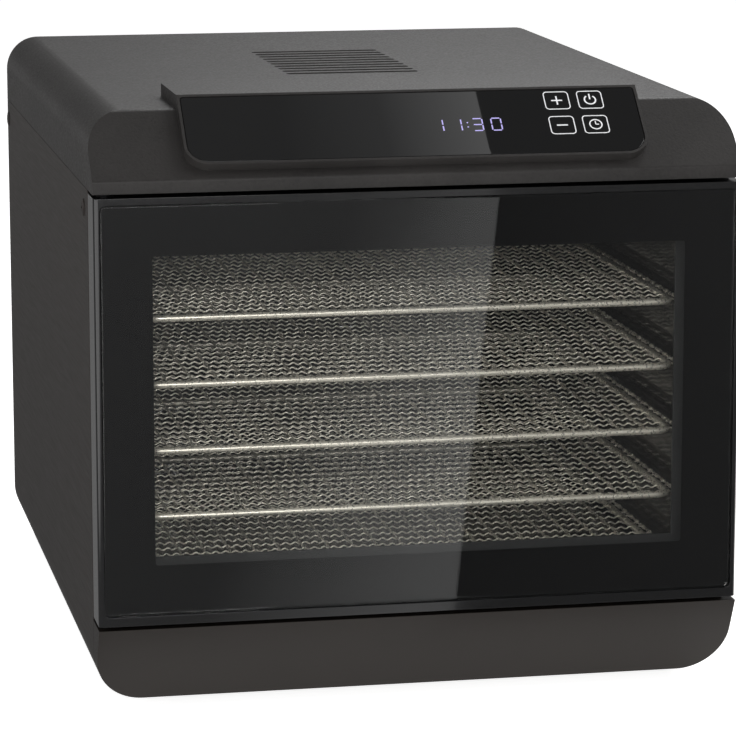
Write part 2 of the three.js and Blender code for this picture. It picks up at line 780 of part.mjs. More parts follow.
// pins that the door turns on: one stands in the base, one hangs from the rail
function hingePins() {
  const lower = PIN_HEAD + GAP + BASE_WALL + DOOR_GAP_BELOW;
  const upper = PIN_HEAD + GAP + RAIL_THICKNESS + GAP + DOOR_GAP_ABOVE;
  const pin = (reach) =>
    turned([
      [0, 0],
      [PIN_HEAD_RADIUS, 0],
      [PIN_HEAD_RADIUS, PIN_HEAD],
      [PIN_RADIUS, PIN_HEAD],
      [PIN_RADIUS, reach + PIN_REACH],
      [0, reach + PIN_REACH],
    ], 24);
  const foot = piece("hinge_pin_lower", pin(lower), STEEL);
  foot.position.set(HINGE_X, HINGE_Y, DOOR_Z - lower);
  const head = piece("hinge_pin_upper", pin(upper), STEEL);
  head.position.set(HINGE_X, HINGE_Y, DOOR_TOP + upper);
  head.rotation.x = Math.PI;
  return [foot, head];
}

// -------------------------------------------------------------- chamber

function frontFrame() {
  const half = HALF - SHEET - GAP;
  const sheet = alongY(
    plate(-half, half, BASE_TOP, LID_Z - GAP),
    FRAME_Y,
    FRAME_Y + PANEL,
  );
  const mouth = alongY(
    plate(-CHAMBER_HALF, CHAMBER_HALF, FLOOR_Z, ROOF_Z),
    FRAME_Y - OVER,
    FRAME_Y + PANEL + OVER,
  );
  return cut(sheet, mouth);
}

const trayHeight = (i) => FLOOR_Z + TRAY_FIRST + i * TRAY_PITCH;

// right-hand wall of the chamber with a ledge for each tray
function chamberWall() {
  const wall = block(
    [CHAMBER_HALF, LINER_Y, FLOOR_Z],
    [CHAMBER_HALF + SHEET, BRACKET_Y - GAP, ROOF_Z],
  );
  const ledges = Array.from({ length: TRAY_COUNT }, (_, i) => {
    const top = trayHeight(i) - TRAY_THICKNESS / 2 - GAP;
    return block(
      [TRAY_WIDTH / 2 - LEDGE_LAP, LINER_Y, top - LEDGE_THICKNESS],
      [CHAMBER_HALF + SHEET / 2, TRAY_Y + TRAY_LENGTH, top],
    );
  });
  return join(wall, ...ledges);
}

function chamberRoof() {
  const sheet = block(
    [-CHAMBER_HALF - SHEET, LINER_Y, ROOF_Z + GAP],
    [CHAMBER_HALF + SHEET, BRACKET_Y - GAP, ROOF_Z + GAP + SHEET],
  );
  const rows = VENT_COUNT / 2;
  const slots = Array.from({ length: rows }, (_, i) => {
    const y = VENT_FRONT + 2 * i * VENT_PITCH;
    return block(
      [-VENT_LENGTH / 2, y, ROOF_Z],
      [VENT_LENGTH / 2, y + VENT_PITCH, ROOF_Z + GAP + SHEET + OVER],
    );
  });
  const probeAt = [PROBE_X, PROBE_Y, 0];
  const above = ROOF_Z + GAP + SHEET + OVER;
  const probeHole = bar("z", probeAt, PROBE_RADIUS + GAP, ROOF_Z, above, 16);
  return cut(sheet, ...slots, probeHole);
}

// carries moist air from the roof slots to the lid's vents
function ventDuct() {
  const half = VENT_LENGTH / 2 + DUCT_MARGIN;
  const y0 = VENT_FRONT - DUCT_MARGIN;
  const y1 = VENT_FRONT + VENT_DEPTH + DUCT_MARGIN;
  const z0 = ROOF_Z + 2 * GAP + SHEET;
  const z1 = LID_TOP - LID_WALL - GAP;
  const w = DUCT_WALL;
  return cut(
    block([-half, y0, z0], [half, y1, z1]),
    block([-half + w, y0 + w, z0 - OVER], [half - w, y1 - w, z1 + OVER]),
  );
}

function airBaffle() {
  const side = CHAMBER_HALF - GAP;
  const sheet = block(
    [-side, BAFFLE_Y, FLOOR_Z + GAP],
    [side, BAFFLE_Y + BAFFLE_THICKNESS, ROOF_Z - GAP],
  );
  const pitchX = CHAMBER_WIDTH / BAFFLE_COLUMNS;
  const pitchZ = CHAMBER_HEIGHT / (BAFFLE_ROWS + 1);
  const half = (pitchX - BAFFLE_BAR) / 2;
  const slots = [];
  for (let column = 0; column < BAFFLE_COLUMNS; column++) {
    for (let row = 0; row < BAFFLE_ROWS; row++) {
      const x = -CHAMBER_HALF + (column + 0.5) * pitchX;
      const z = FLOOR_Z + (row + 1) * pitchZ;
      slots.push(
        block(
          [x - half, BAFFLE_Y - OVER, z - BAFFLE_SLOT / 2],
          [x + half, BAFFLE_Y + BAFFLE_THICKNESS + OVER, z + BAFFLE_SLOT / 2],
        ),
      );
    }
  }
  return cut(sheet, ...slots);
}

// a mesh tray as a flat grid: its border and a few cross wires
function tray() {
  const half = TRAY_WIDTH / 2;
  const thick = TRAY_THICKNESS / 2;
  const body = block([-half, 0, -thick], [half, TRAY_LENGTH, thick]);
  const stepX = (TRAY_WIDTH - TRAY_BORDER) / TRAY_CELLS_X;
  const stepY = (TRAY_LENGTH - TRAY_BORDER) / TRAY_CELLS_Y;
  const cells = [];
  for (let i = 0; i < TRAY_CELLS_X; i++) {
    for (let j = 0; j < TRAY_CELLS_Y; j++) {
      const x = -half + TRAY_BORDER + i * stepX;
      const y = TRAY_BORDER + j * stepY;
      cells.push(
        block([x, y, -thick - OVER], [x + stepX - TRAY_BORDER, y + stepY - TRAY_BORDER, thick + OVER]),
      );
    }
  }
  return surface(cut(body, ...cells));
}

function chamberPieces() {
  const right = chamberWall();
  const left = right.mirror([1, 0, 0]);
  const floor = block(
    [-CHAMBER_HALF - SHEET, LINER_Y, FLOOR_Z - GAP - SHEET],
    [CHAMBER_HALF + SHEET, BRACKET_Y - GAP, FLOOR_Z - GAP],
  );
  const pieces = [
    piece("front_frame", frontFrame(), DOOR_BLACK),
    piece("chamber_left_wall", left, LINER),
    piece("chamber_right_wall", right, LINER),
    piece("chamber_floor", floor, LINER),
    piece("chamber_roof", chamberRoof(), LINER),
    piece("vent_duct", ventDuct(), PLASTIC),
    piece("air_baffle", airBaffle(), LINER),
  ];
  for (let i = 0; i < TRAY_COUNT; i++) {
    const mesh = piece(`tray_${TRAY_COUNT - i}`, tray(), STEEL);
    mesh.position.set(0, TRAY_Y, trayHeight(i));
    pieces.push(mesh);
  }
  return pieces;
}

function doorMagnets() {
  return CATCH_HEIGHTS.map((z, i) => {
    const body = new THREE.BoxGeometry(MAGNET_WIDTH, MAGNET_THICKNESS, MAGNET_HEIGHT);
    const mesh = piece(`door_magnet_${["lower", "upper"][i]}`, body, PLASTIC);
    mesh.position.set(
      STRIKER_X + MAGNET_WIDTH / 2,
      FRAME_Y - GAP - MAGNET_THICKNESS / 2,
      DOOR_Z + z,
    );
    return mesh;
  });
}

// ------------------------------------------------------- fan and heater

function motorBracket() {
  const half = CHAMBER_HALF + SHEET;
  const low = FLOOR_Z - GAP - SHEET;
  const high = ROOF_Z + GAP + SHEET;
  const sheet = block([-half, BRACKET_Y, low], [half, BRACKET_Y + PANEL, high]);
  const through = (x, z, radius, sides) =>
    bar("y", [x, 0, z], radius, BRACKET_Y - OVER, BRACKET_Y + PANEL + OVER, sides);
  const intakes = Array.from({ length: BRACKET_HOLES }, (_, i) => {
    const a = ((i + 0.5) / BRACKET_HOLES) * 2 * Math.PI;
    const r = (MOTOR_RADIUS + FAN_RADIUS) / 2;
    return through(r * Math.cos(a), FAN_Z + r * Math.sin(a), BRACKET_HOLE_RADIUS, 16);
  });
  const legs = [-1, 1].map((side) =>
    through(side * HEATER_LEG_SPREAD, FAN_Z - HEATER_RADIUS, HEATER_TUBE + HEATER_LEG_CLEARANCE, 12),
  );
  return cut(sheet, through(0, FAN_Z, FAN_HUB_RADIUS / 2, 24), ...intakes, ...legs);
}

// blades round a hub, turning about Y
function fanWheel() {
  const hub = bar("y", [0, 0, 0], FAN_HUB_RADIUS, -FAN_DEPTH / 2, FAN_DEPTH / 2);
  const span = FAN_RADIUS - FAN_HUB_RADIUS + BLADE_ROOT;
  const blades = Array.from({ length: FAN_BLADES }, (_, i) => {
    const blade = new THREE.BoxGeometry(span, BLADE_THICKNESS, BLADE_CHORD);
    blade.rotateX(FAN_PITCH);
    blade.translate(FAN_RADIUS - span / 2, 0, 0);
    blade.rotateY((i / FAN_BLADES) * 2 * Math.PI);
    return solid(blade);
  });
  const bore = bar("y", [0, 0, 0], SHAFT_RADIUS + GAP, -FAN_DEPTH, FAN_DEPTH);
  return cut(join(hub, ...blades), bore);
}

// a ring heater with two legs that go back through the bracket
class HeaterPath extends THREE.Curve {
  getPoint(t, target = new THREE.Vector3()) {
    const legShare = 0.2;
    const y = BRACKET_Y - HEATER_AHEAD;
    const leg = HEATER_AHEAD + HEATER_LEG_BEHIND;
    const start = Math.asin(HEATER_LEG_SPREAD / HEATER_RADIUS);
    const bottom = FAN_Z - HEATER_RADIUS * Math.cos(start);
    if (t < legShare) {
      const back = 1 - t / legShare;
      return target.set(HEATER_LEG_SPREAD, y + back * leg, bottom);
    }
    if (t > 1 - legShare) {
      const back = (t - 1 + legShare) / legShare;
      return target.set(-HEATER_LEG_SPREAD, y + back * leg, bottom);
    }
    const share = (t - legShare) / (1 - 2 * legShare);
    const a = start + share * 2 * (Math.PI - start);
    return target.set(
      HEATER_RADIUS * Math.sin(a),
      y,
      FAN_Z - HEATER_RADIUS * Math.cos(a),
    );
  }
}

function heaterElement() {
  const section = new THREE.Shape();
  section.absarc(0, 0, HEATER_TUBE, 0, 2 * Math.PI);
  return new THREE.ExtrudeGeometry(section, {
    steps: 44,
    curveSegments: 4,
    extrudePath: new HeaterPath(),
  });
}

// strip that carries one side of the heater ring on the bracket
function heaterHolder(side) {
  const front = BRACKET_Y - HEATER_AHEAD - HEATER_TUBE - HOLDER_CLEARANCE;
  const x = side * (HEATER_RADIUS + HEATER_TUBE + HOLDER_CLEARANCE);
  const out = x + side * HOLDER_THICKNESS;
  const foot = x + side * HOLDER_TAB;
  const strip = block(
    [Math.min(x, out), front, FAN_Z - HOLDER_WIDTH / 2],
    [Math.max(x, out), BRACKET_Y - GAP, FAN_Z + HOLDER_WIDTH / 2],
  );
  const tab = block(
    [Math.min(x, foot), BRACKET_Y - GAP - HOLDER_THICKNESS, FAN_Z - HOLDER_WIDTH / 2],
    [Math.max(x, foot), BRACKET_Y - GAP, FAN_Z + HOLDER_WIDTH / 2],
  );
  return join(strip, tab);
}

function fanMotor() {
  const at = [0, 0, FAN_Z];
  const back = MOTOR_Y + MOTOR_LENGTH;
  const can = bar("y", at, MOTOR_RADIUS, MOTOR_Y, back, 32);
  const boss = bar("y", at, MOTOR_RADIUS / 2, MOTOR_Y, back + MOTOR_BOSS);
  const bore = bar("y", at, SHAFT_RADIUS + GAP, MOTOR_Y - OVER, back - MOTOR_LENGTH / 2 + OVER);
  return cut(join(can, boss), bore);
}

function fanPieces() {
  const fanY = BRACKET_Y - FAN_TO_BRACKET - FAN_DEPTH;
  const wheel = piece("fan_wheel", fanWheel(), PLASTIC);
  wheel.position.set(0, fanY, FAN_Z);
  const shaftFront = fanY - FAN_DEPTH / 2 - NUT_AHEAD;
  const shaftBack = MOTOR_Y + MOTOR_LENGTH / 2;
  const nutFront = shaftFront - NUT_CAP;
  const nutBack = fanY - FAN_DEPTH / 2 - GAP;
  const nut = cut(
    bar("y", [0, 0, FAN_Z], SHAFT_RADIUS + NUT_WALL, nutFront, nutBack, 6),
    bar("y", [0, 0, FAN_Z], SHAFT_RADIUS + GAP, shaftFront - GAP, nutBack + OVER, 24),
  );
  const cutoutBack = BRACKET_Y - GAP;
  const cutoutAt = [CUTOUT_X, 0, CUTOUT_Z];
  const cutout = bar("y", cutoutAt, CUTOUT_RADIUS, cutoutBack - CUTOUT_LENGTH, cutoutBack, 20);
  const probe = turned([
    [0, 0],
    [PROBE_RADIUS * 0.6, 0],
    [PROBE_RADIUS, PROBE_TIP],
    [PROBE_RADIUS, PROBE_LENGTH],
    [0, PROBE_LENGTH],
  ]);
  const probeMesh = piece("temperature_probe", probe, STEEL);
  probeMesh.position.set(PROBE_X, PROBE_Y, ROOF_Z - PROBE_BELOW_ROOF);
  return [
    wheel,
    piece("fan_shaft", bar("y", [0, 0, FAN_Z], SHAFT_RADIUS, shaftFront, shaftBack), STEEL),
    piece("fan_nut", nut, STEEL),
    piece("fan_motor", fanMotor(), STEEL),
    piece("motor_bracket", motorBracket(), LINER),
    piece("heater_element", heaterElement(), HEATER_STEEL),
    piece("heater_holder_left", heaterHolder(-1), STEEL),
    piece("heater_holder_right", heaterHolder(1), STEEL),
    piece("thermal_cutout", cutout, PLASTIC),
    probeMesh,
  ];
}

// ---------------------------------------------------------- electronics

function powerBoard() {
  const x = VENT_LENGTH / 2 + 2 * DUCT_MARGIN + POWER_BOARD_FROM_DUCT;
  const y = VENT_FRONT;
  const z = ROOF_Z + GAP + SHEET + POWER_BOARD_ABOVE_ROOF;
  const top = z + BOARD_THICKNESS;
  const low = top - COMPONENT_SUNK;
  const sheet = block([x, y, z], [x + POWER_BOARD_WIDTH, y + POWER_BOARD_LENGTH, top]);
  const stand = (part) =>
    block(
      [x + part.x, y + part.y, low],
      [x + part.x + part.width, y + part.y + part.length, top + part.height],
    );
  const can = [x + CAPACITOR.x, y + CAPACITOR.y, 0];
  const capacitor = bar("z", can, CAPACITOR.radius, low, top + CAPACITOR.height, 20);
  return join(sheet, stand(TRANSFORMER), stand(RELAY), capacitor);
}

function cableGland() {
  const reach = DEPTH + GLAND_PROUD;
  const inside = PANEL_Y - GLAND_INSIDE;
  const at = [GLAND_X, 0, GLAND_Z];
  return cut(
    join(
      bar("y", at, GLAND_RADIUS, DEPTH + GAP, DEPTH + GLAND_FLANGE),
      bar("y", at, (GLAND_RADIUS + GLAND_NECK) / 2, DEPTH + GAP + OVER, reach),
      bar("y", at, GLAND_NECK, inside, DEPTH + GAP + OVER),
    ),
    bar("y", at, GLAND_BORE, inside - OVER, reach + OVER, 16),
  );
}

function terminalBlock() {
  const z = BODY_Z + SHEET + GAP;
  const back = PANEL_Y - TERMINAL_TO_PANEL;
  const half = TERMINAL_WIDTH / 2;
  return block(
    [GLAND_X - half, back - TERMINAL_LENGTH, z],
    [GLAND_X + half, back, z + TERMINAL_HEIGHT],
  );
}

// ---------------------------------------------------------------- fixings

function sideScrewHole(side, y) {
  const x = side * (HALF - SHEET * 3);
  return bar("x", [x, y, SIDE_SCREW_Z], SCREW_SHANK + GAP, -SCREW_LENGTH, SCREW_LENGTH, 12);
}

function rearScrewPlaces() {
  const x = HALF - REAR_SCREW_FROM_SIDE;
  const high = LID_Z - REAR_SCREW_BELOW_LID;
  const low = BODY_Z + REAR_SCREW_ABOVE_BOTTOM;
  return [[-x, high], [x, high], [-x, low], [x, low]];
}

// a dome-headed screw: the head stands on z = 0 and the shank goes below
function screw() {
  const profile = [
    [0, -SCREW_LENGTH],
    [SCREW_SHANK, -SCREW_LENGTH],
    [SCREW_SHANK, GAP],
    [SCREW_RADIUS, GAP],
    [SCREW_RADIUS * 0.92, SCREW_DOME * 0.6],
    [SCREW_RADIUS * 0.5, SCREW_DOME * 0.93],
    [0, SCREW_DOME],
  ];
  return turned(profile, 12);
}

function fixings() {
  const pieces = [];
  const places = [
    ["left_front", -1, SIDE_SCREW_FRONT],
    ["left_rear", -1, SIDE_SCREW_REAR],
    ["right_front", 1, SIDE_SCREW_FRONT],
    ["right_rear", 1, SIDE_SCREW_REAR],
  ];
  for (const [name, side, y] of places) {
    const mesh = piece(`side_screw_${name}`, screw(), PAINTED);
    mesh.position.set(side * HALF, y, SIDE_SCREW_Z);
    mesh.rotation.y = (side * Math.PI) / 2;
    pieces.push(mesh);
  }
  rearScrewPlaces().forEach(([x, z], i) => {
    const mesh = piece(`rear_screw_${i + 1}`, screw(), STEEL);
    mesh.position.set(x, DEPTH, z);
    mesh.rotation.x = -Math.PI / 2;
    pieces.push(mesh);
  });
  return pieces;
}

function feet() {
  const places = [
    [-1, FOOT_INSET_Y],
    [1, FOOT_INSET_Y],
    [-1, DEPTH - FOOT_INSET_Y],
    [1, DEPTH - FOOT_INSET_Y],
  ];
  return places.map(([side, y], i) => {
    const foot = turned([
      [0, 0],
      [FOOT_RADIUS - FOOT_CHAMFER, 0],
      [FOOT_RADIUS, FOOT_CHAMFER],
      [FOOT_RADIUS, FOOT_HEIGHT - GAP],
      [0, FOOT_HEIGHT - GAP],
    ], 24);
    const mesh = piece(`foot_${i + 1}`, foot, RUBBER);
    mesh.position.set(side * (HALF - FOOT_INSET_X), y, 0);
    return mesh;
  });
}

// ------------------------------------------------------------- assembly

const wrap = cut(
  sideWrap(),
  ...[-1, 1].flatMap((side) =>
    [SIDE_SCREW_FRONT, SIDE_SCREW_REAR].map((y) => sideScrewHole(side, y)),
  ),
);

const dehydrator = new THREE.Group();
dehydrator.position.y = -(DEPTH + GLAND_PROUD) / 2;
dehydrator.add(
  piece("side_wrap", wrap, PAINTED),
  piece("base_front", baseFront(), FASCIA),
  piece("rear_panel", rearPanel(), PAINTED),
  lidGroup(),
  doorGroup(),
  ...hingePins(),
  ...chamberPieces(),
  ...doorMagnets(),
  ...fanPieces(),
  piece("power_board", powerBoard(), BOARD),
  piece("terminal_block", terminalBlock(), PLASTIC),
  piece("cable_gland", cableGland(), PLASTIC),
  ...fixings(),
  ...feet(),
);

export default dehydrator;
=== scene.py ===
# %% [markdown]
# A food dehydrator. The engineering model comes in first and stays where it is: every piece made
# below takes its place from that model's boxes, so nothing has to be fitted by eye.

# %% Load the engineering model
import math
from contextlib import contextmanager

import bmesh
import bpy
from mathutils import Matrix, Vector


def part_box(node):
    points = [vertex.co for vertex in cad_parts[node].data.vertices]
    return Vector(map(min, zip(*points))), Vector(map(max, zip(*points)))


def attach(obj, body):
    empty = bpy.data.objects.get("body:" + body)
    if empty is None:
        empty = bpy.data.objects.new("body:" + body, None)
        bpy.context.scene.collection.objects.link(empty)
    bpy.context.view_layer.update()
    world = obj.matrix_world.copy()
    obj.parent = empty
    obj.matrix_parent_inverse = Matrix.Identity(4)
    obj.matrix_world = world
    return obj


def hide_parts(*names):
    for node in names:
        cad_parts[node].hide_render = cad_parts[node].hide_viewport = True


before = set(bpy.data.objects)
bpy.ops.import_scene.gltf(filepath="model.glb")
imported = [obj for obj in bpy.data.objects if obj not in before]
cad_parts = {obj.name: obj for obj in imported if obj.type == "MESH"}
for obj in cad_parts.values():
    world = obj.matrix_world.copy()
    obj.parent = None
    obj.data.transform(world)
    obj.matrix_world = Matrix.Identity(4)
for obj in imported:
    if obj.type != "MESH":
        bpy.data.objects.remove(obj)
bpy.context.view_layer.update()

MM = 0.001

# %% [markdown]
# A few sizes are read from the model and named once. The door's outer face is the front of
# everything, so depths are counted from it, as a maker would on a bench.

# %% Sizes that several pieces share
wrap_low, wrap_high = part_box("side_wrap")
door_low, door_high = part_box("door_frame")
glass_low, glass_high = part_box("door_glass")
lid_low, lid_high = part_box("top_cover")
base_low, base_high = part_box("base_front")
panel_low, panel_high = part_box("rear_panel")
HALF = wrap_high.x
FRONT = door_low.y
BACK = panel_high.y
BODY_Z = wrap_low.z
GAP = 0.3 * MM
BOTTOM_RADIUS = 25.6 * MM
SHEET = 0.8 * MM
SAME_POINT = 0.01 * MM
print("half width, depth, mm:", round(HALF / MM, 1), round((BACK - FRONT) / MM, 1))

# %% [markdown]
# Most of the housing is pressed or moulded from flat outlines with rounded corners. One helper
# turns a list of corners, each with its radius, into points round the outline, and a second one
# pushes that outline along an axis into a closed solid.

# %% Outlines and solids
ARC_STEPS = 14


def outline(corners, steps=ARC_STEPS):
    """Points round a polygon whose corners are (across, up, radius)."""
    points = []
    for i, (x, y, radius) in enumerate(corners):
        at = Vector((x, y))
        back = (Vector(corners[i - 1][:2]) - at).normalized()
        on = (Vector(corners[(i + 1) % len(corners)][:2]) - at).normalized()
        if radius <= 0:
            points.append(at)
            continue
        half = back.angle(on) / 2
        centre = at + (back + on).normalized() * radius / math.sin(half)
        first = at + back * radius / math.tan(half) - centre
        last = at + on * radius / math.tan(half) - centre
        turn = math.atan2(first.x * last.y - first.y * last.x, first.dot(last))
        for k in range(steps + 1):
            angle = turn * k / steps
            points.append(centre + Matrix.Rotation(angle, 2) @ first)
    return points


def plate(x0, x1, y0, y1, lower=0.0, upper=0.0):
    """A rectangle with rounded lower and upper corners."""
    return outline([(x0, y0, lower), (x1, y0, lower), (x1, y1, upper), (x0, y1, upper)])


def prism(name, points, axis, low, high):
    """A closed solid: the outline lies across the axis and is pushed from low to high."""
    place = {
        "X": lambda p, t: (t, p.x, p.y),
        "Y": lambda p, t: (p.x, t, p.y),
        "Z": lambda p, t: (p.x, p.y, t),
    }[axis]
    shape = bmesh.new()
    rings = [[shape.verts.new(place(p, t)) for p in points] for t in (low, high)]
    shape.faces.new(rings[0])
    shape.faces.new(rings[1])
    for i in range(len(points)):
        j = (i + 1) % len(points)
        shape.faces.new((rings[0][i], rings[0][j], rings[1][j], rings[1][i]))
    return to_object(name, shape)


def add_object(name, data):
    """Puts a mesh, a lamp or a camera into the scene."""
    made = bpy.data.objects.new(name, data)
    bpy.context.scene.collection.objects.link(made)
    return made


def to_object(name, shape):
    """Closes a bmesh into an object with its faces pointing outwards."""
    bmesh.ops.recalc_face_normals(shape, faces=shape.faces)
    mesh = bpy.data.meshes.new(name)
    shape.to_mesh(mesh)
    shape.free()
    return add_object(name, mesh)


def moved(piece, x=0.0, y=0.0, z=0.0):
    """Moves a piece's mesh, so that its object stays at the origin."""
    piece.data.transform(Matrix.Translation((x, y, z)))
    return piece


def facing_back(x, y, z):
    """The place of something that is drawn flat and stands upright behind the chamber."""
    return Matrix.Translation((x, y, z)) @ Matrix.Rotation(math.pi / 2, 4, "X")


# %% [markdown]
# Openings are cut and parts are joined with boolean modifiers, then every long edge gets the small
# round that a press or a mould leaves. That round is what catches the light, so it matters more
# than its size suggests. Each modifier is turned into plain mesh at once.

# %% Cutting, joining and rounding


def settle(piece):
    """Turns a piece's modifiers into plain mesh."""
    graph = bpy.context.evaluated_depsgraph_get()
    mesh = bpy.data.meshes.new_from_object(piece.evaluated_get(graph))
    piece.modifiers.clear()
    piece.data = mesh
    return piece


def combine(base, operation, *others):
    """DIFFERENCE, UNION or INTERSECT with the other solids, which are used up."""
    for other in others:
        step = base.modifiers.new("boolean", "BOOLEAN")
        step.operation = operation
        step.solver = "EXACT"
        step.object = other
        settle(base)
        bpy.data.objects.remove(other)
    return base


@contextmanager
def edited(piece):
    """Opens a piece's mesh for editing and puts the result back."""
    shape = bmesh.new()
    shape.from_mesh(piece.data)
    yield shape
    shape.to_mesh(piece.data)
    shape.free()


def soften(piece, width, segments, angle):
    """Rounds every edge sharper than the angle and keeps flat faces looking flat."""
    with edited(piece) as shape:
        bmesh.ops.remove_doubles(shape, verts=shape.verts, dist=SAME_POINT)
        bmesh.ops.dissolve_degenerate(shape, edges=shape.edges, dist=SAME_POINT)
    round_off = piece.modifiers.new("round", "BEVEL")
    round_off.width = width
    round_off.segments = segments
    round_off.limit_method = "ANGLE"
    round_off.angle_limit = math.radians(angle)
    weigh = piece.modifiers.new("weigh", "WEIGHTED_NORMAL")
    weigh.keep_sharp = True
    piece.data.shade_smooth()
    settle(piece)


# %% [markdown]
# A finished piece rides on one body of the model, takes a material, and hides the model nodes that
# it stands for. Doing that in one call keeps the pieces alike, and its printed line is a check on
# their size.

# %% Finishing a piece


def finish(piece, body, material, slot, *nodes):
    """Gives a piece its material and its body, and hides the nodes that it stands for."""
    piece.data.materials.clear()
    piece.data.materials.append(material)
    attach(piece, body)
    if nodes:
        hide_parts(*nodes)
    piece.data.calc_loop_triangles()
    print(f"{piece.name}: {len(piece.data.loop_triangles)} triangles, {material.name}")


# %% [markdown]
# Materials and patterns are both trees of nodes. These few calls add a node and fill its sockets
# in one go, so that a tree reads like a list of steps.

# %% Adding nodes


def put(tree, kind, sockets=None, **settings):
    """Adds a node, and fills its sockets with values or with links to other nodes' sockets."""
    made = tree.nodes.new(kind)
    for name, value in settings.items():
        setattr(made, name, value)
    for key, value in (sockets or {}).items():
        socket = made.inputs[key]
        if isinstance(value, bpy.types.NodeSocket):
            tree.links.new(value, socket)
        else:
            socket.default_value = value
    return made


def out(tree, kind, sockets=None, **settings):
    """Adds a node and returns its first output."""
    return put(tree, kind, sockets, **settings).outputs[0]


def maths(tree, operation, *values):
    """Adds one step of arithmetic."""
    return out(tree, "ShaderNodeMath", dict(enumerate(values)), operation=operation)


def xyz(tree, x=0.0, y=0.0, z=0.0):
    """Adds a vector made of three numbers."""
    return out(tree, "ShaderNodeCombineXYZ", {0: x, 1: y, 2: z})


# %% [markdown]
# Every finish here is uneven up close: paint has orange peel, moulded plastic has a fine grain,
# brushed steel has lines. One recipe covers them. A broad noise moves the colour a little, and a
# fine one moves the colour too, changes the roughness and raises the bump. Object coordinates are
# used, in metres, because they stay on the piece when it moves.

# %% A recipe for painted, moulded and metal surfaces
MOTTLE = 25
COAT_ROUGHNESS = 0.05


def linear(red, green, blue):
    """A colour given as 0 to 255 screen values, in the linear values that shaders use."""
    channel = lambda v: v / 12.92 if v <= 0.04045 else ((v + 0.055) / 1.055) ** 2.4
    return (*[channel(v / 255) for v in (red, green, blue)], 1.0)


def new_material(name):
    """A material whose node tree is still empty."""
    material = bpy.data.materials.new(name)
    material.use_nodes = True
    material.node_tree.nodes.clear()
    return material, material.node_tree


def coated(
    name, colour, drift, rough, grain, height,
    stretch=(1, 1, 1), metallic=0.0, coat=0.0, specular=0.5, lit=0.0,
):
    """A finish: colour drifts by a share, rough is its (low, high), grain is per metre."""
    material, tree = new_material(name)
    place = put(tree, "ShaderNodeTexCoord").outputs["Object"]
    turned = out(tree, "ShaderNodeMapping", {"Vector": place, "Scale": stretch})
    broad = out(tree, "ShaderNodeTexNoise", {"Vector": place, "Scale": MOTTLE, "Detail": 3})
    fine = out(tree, "ShaderNodeTexNoise", {"Vector": turned, "Scale": grain, "Detail": 2})
    both = maths(tree, "MULTIPLY", maths(tree, "ADD", broad, fine), 0.5)
    ramp = put(tree, "ShaderNodeValToRGB", {"Fac": both})
    base = Vector(linear(*colour)[:3])
    stops = ramp.color_ramp.elements
    for stop, position, share in zip(stops, (0.3, 0.7), (1 - drift, 1 + drift)):
        stop.position = position
        stop.color = (*(base * share), 1)
    spread = {"Value": fine, "From Min": 0.3, "From Max": 0.7, "To Min": rough[0], "To Max": rough[1]}
    gloss = out(tree, "ShaderNodeMapRange", spread)
    bump = out(tree, "ShaderNodeBump", {"Height": fine, "Strength": 1.0, "Distance": height})
    look = {"Base Color": ramp.outputs[0], "Roughness": gloss, "Normal": bump, "Metallic": metallic}
    look |= {"Specular IOR Level": specular, "Coat Weight": coat, "Coat Roughness": COAT_ROUGHNESS}
    look |= {"Emission Color": linear(*colour), "Emission Strength": lit}
    shader = out(tree, "ShaderNodeBsdfPrincipled", look)
    put(tree, "ShaderNodeOutputMaterial", {"Surface": shader})
    return material


# %% [markdown]
# The cabinet is satin powder paint, warm and nearly black, brushed along its depth. The lid is a
# moulded plastic with a speckled grain. The door trim and the chamber are glossy black.

# %% The finishes
cabinet_paint = coated(
    "warm satin paint", (47, 42, 39), 0.05, (0.4, 0.47), 500, 0.004 * MM, (3, 0.06, 3), 0.3, specular=0.3
)
lid_plastic = coated(
    "grained lid plastic", (45, 43, 42), 0.3, (0.4, 0.6), 750, 0.075 * MM, specular=0.3
)
fascia_paint = coated("satin fascia", (37, 33, 30), 0.08, (0.34, 0.44), 900, 0.012 * MM, specular=0.2)
door_trim = coated("gloss black trim", (14, 14, 15), 0.15, (0.12, 0.2), 400, 0.004 * MM, coat=0.6)
enamel = coated("gloss black enamel", (22, 20, 19), 0.15, (0.1, 0.2), 300, 0.01 * MM, coat=0.5)
wire_steel = coated(
    "bright drawn wire", (226, 219, 206), 0.06, (0.24, 0.36), 700, 0.006 * MM, metallic=0.7
)
bright_steel = coated(
    "turned steel", (200, 198, 194), 0.1, (0.2, 0.34), 500, 0.008 * MM, (1, 6, 1), 1.0
)
zinc_steel = coated(
    "zinc plated steel", (150, 150, 152), 0.18, (0.3, 0.46), 300, 0.01 * MM, metallic=1.0
)
# The hinge pins' steel is painted dark: its colour stands in for the shade in the gap between door and
# lid, where bright steel would glint.
gap_shade_steel = coated("steel painted dark for gap shade", (44, 44, 46), 0.2, (0.36, 0.5), 400, 0.01 * MM, metallic=1.0)
heater_steel = coated(
    "heat-darkened steel", (104, 92, 84), 0.3, (0.34, 0.52), 200, 0.015 * MM, metallic=1.0
)
dark_plastic = coated("moulded black plastic", (30, 30, 31), 0.18, (0.5, 0.66), 900, 0.03 * MM)
board_green = coated("circuit board", (26, 66, 42), 0.25, (0.36, 0.5), 220, 0.02 * MM)
seal_rubber = coated("soft seal rubber", (20, 20, 20), 0.2, (0.62, 0.8), 700, 0.03 * MM)
foot_rubber = coated("foot rubber", (24, 23, 23), 0.2, (0.7, 0.9), 500, 0.05 * MM)
print("finishes:", len(bpy.data.materials))


# %% [markdown]
# Clear glass needs one trick. Light has to come through it into the chamber, and a refracting
# surface would block lamps, so shadow rays see it as open and every other ray sees real glass.
# The ink border and the touch panel are plain near-black, and the lit marks glow a little.

# %% The glasses and the inks


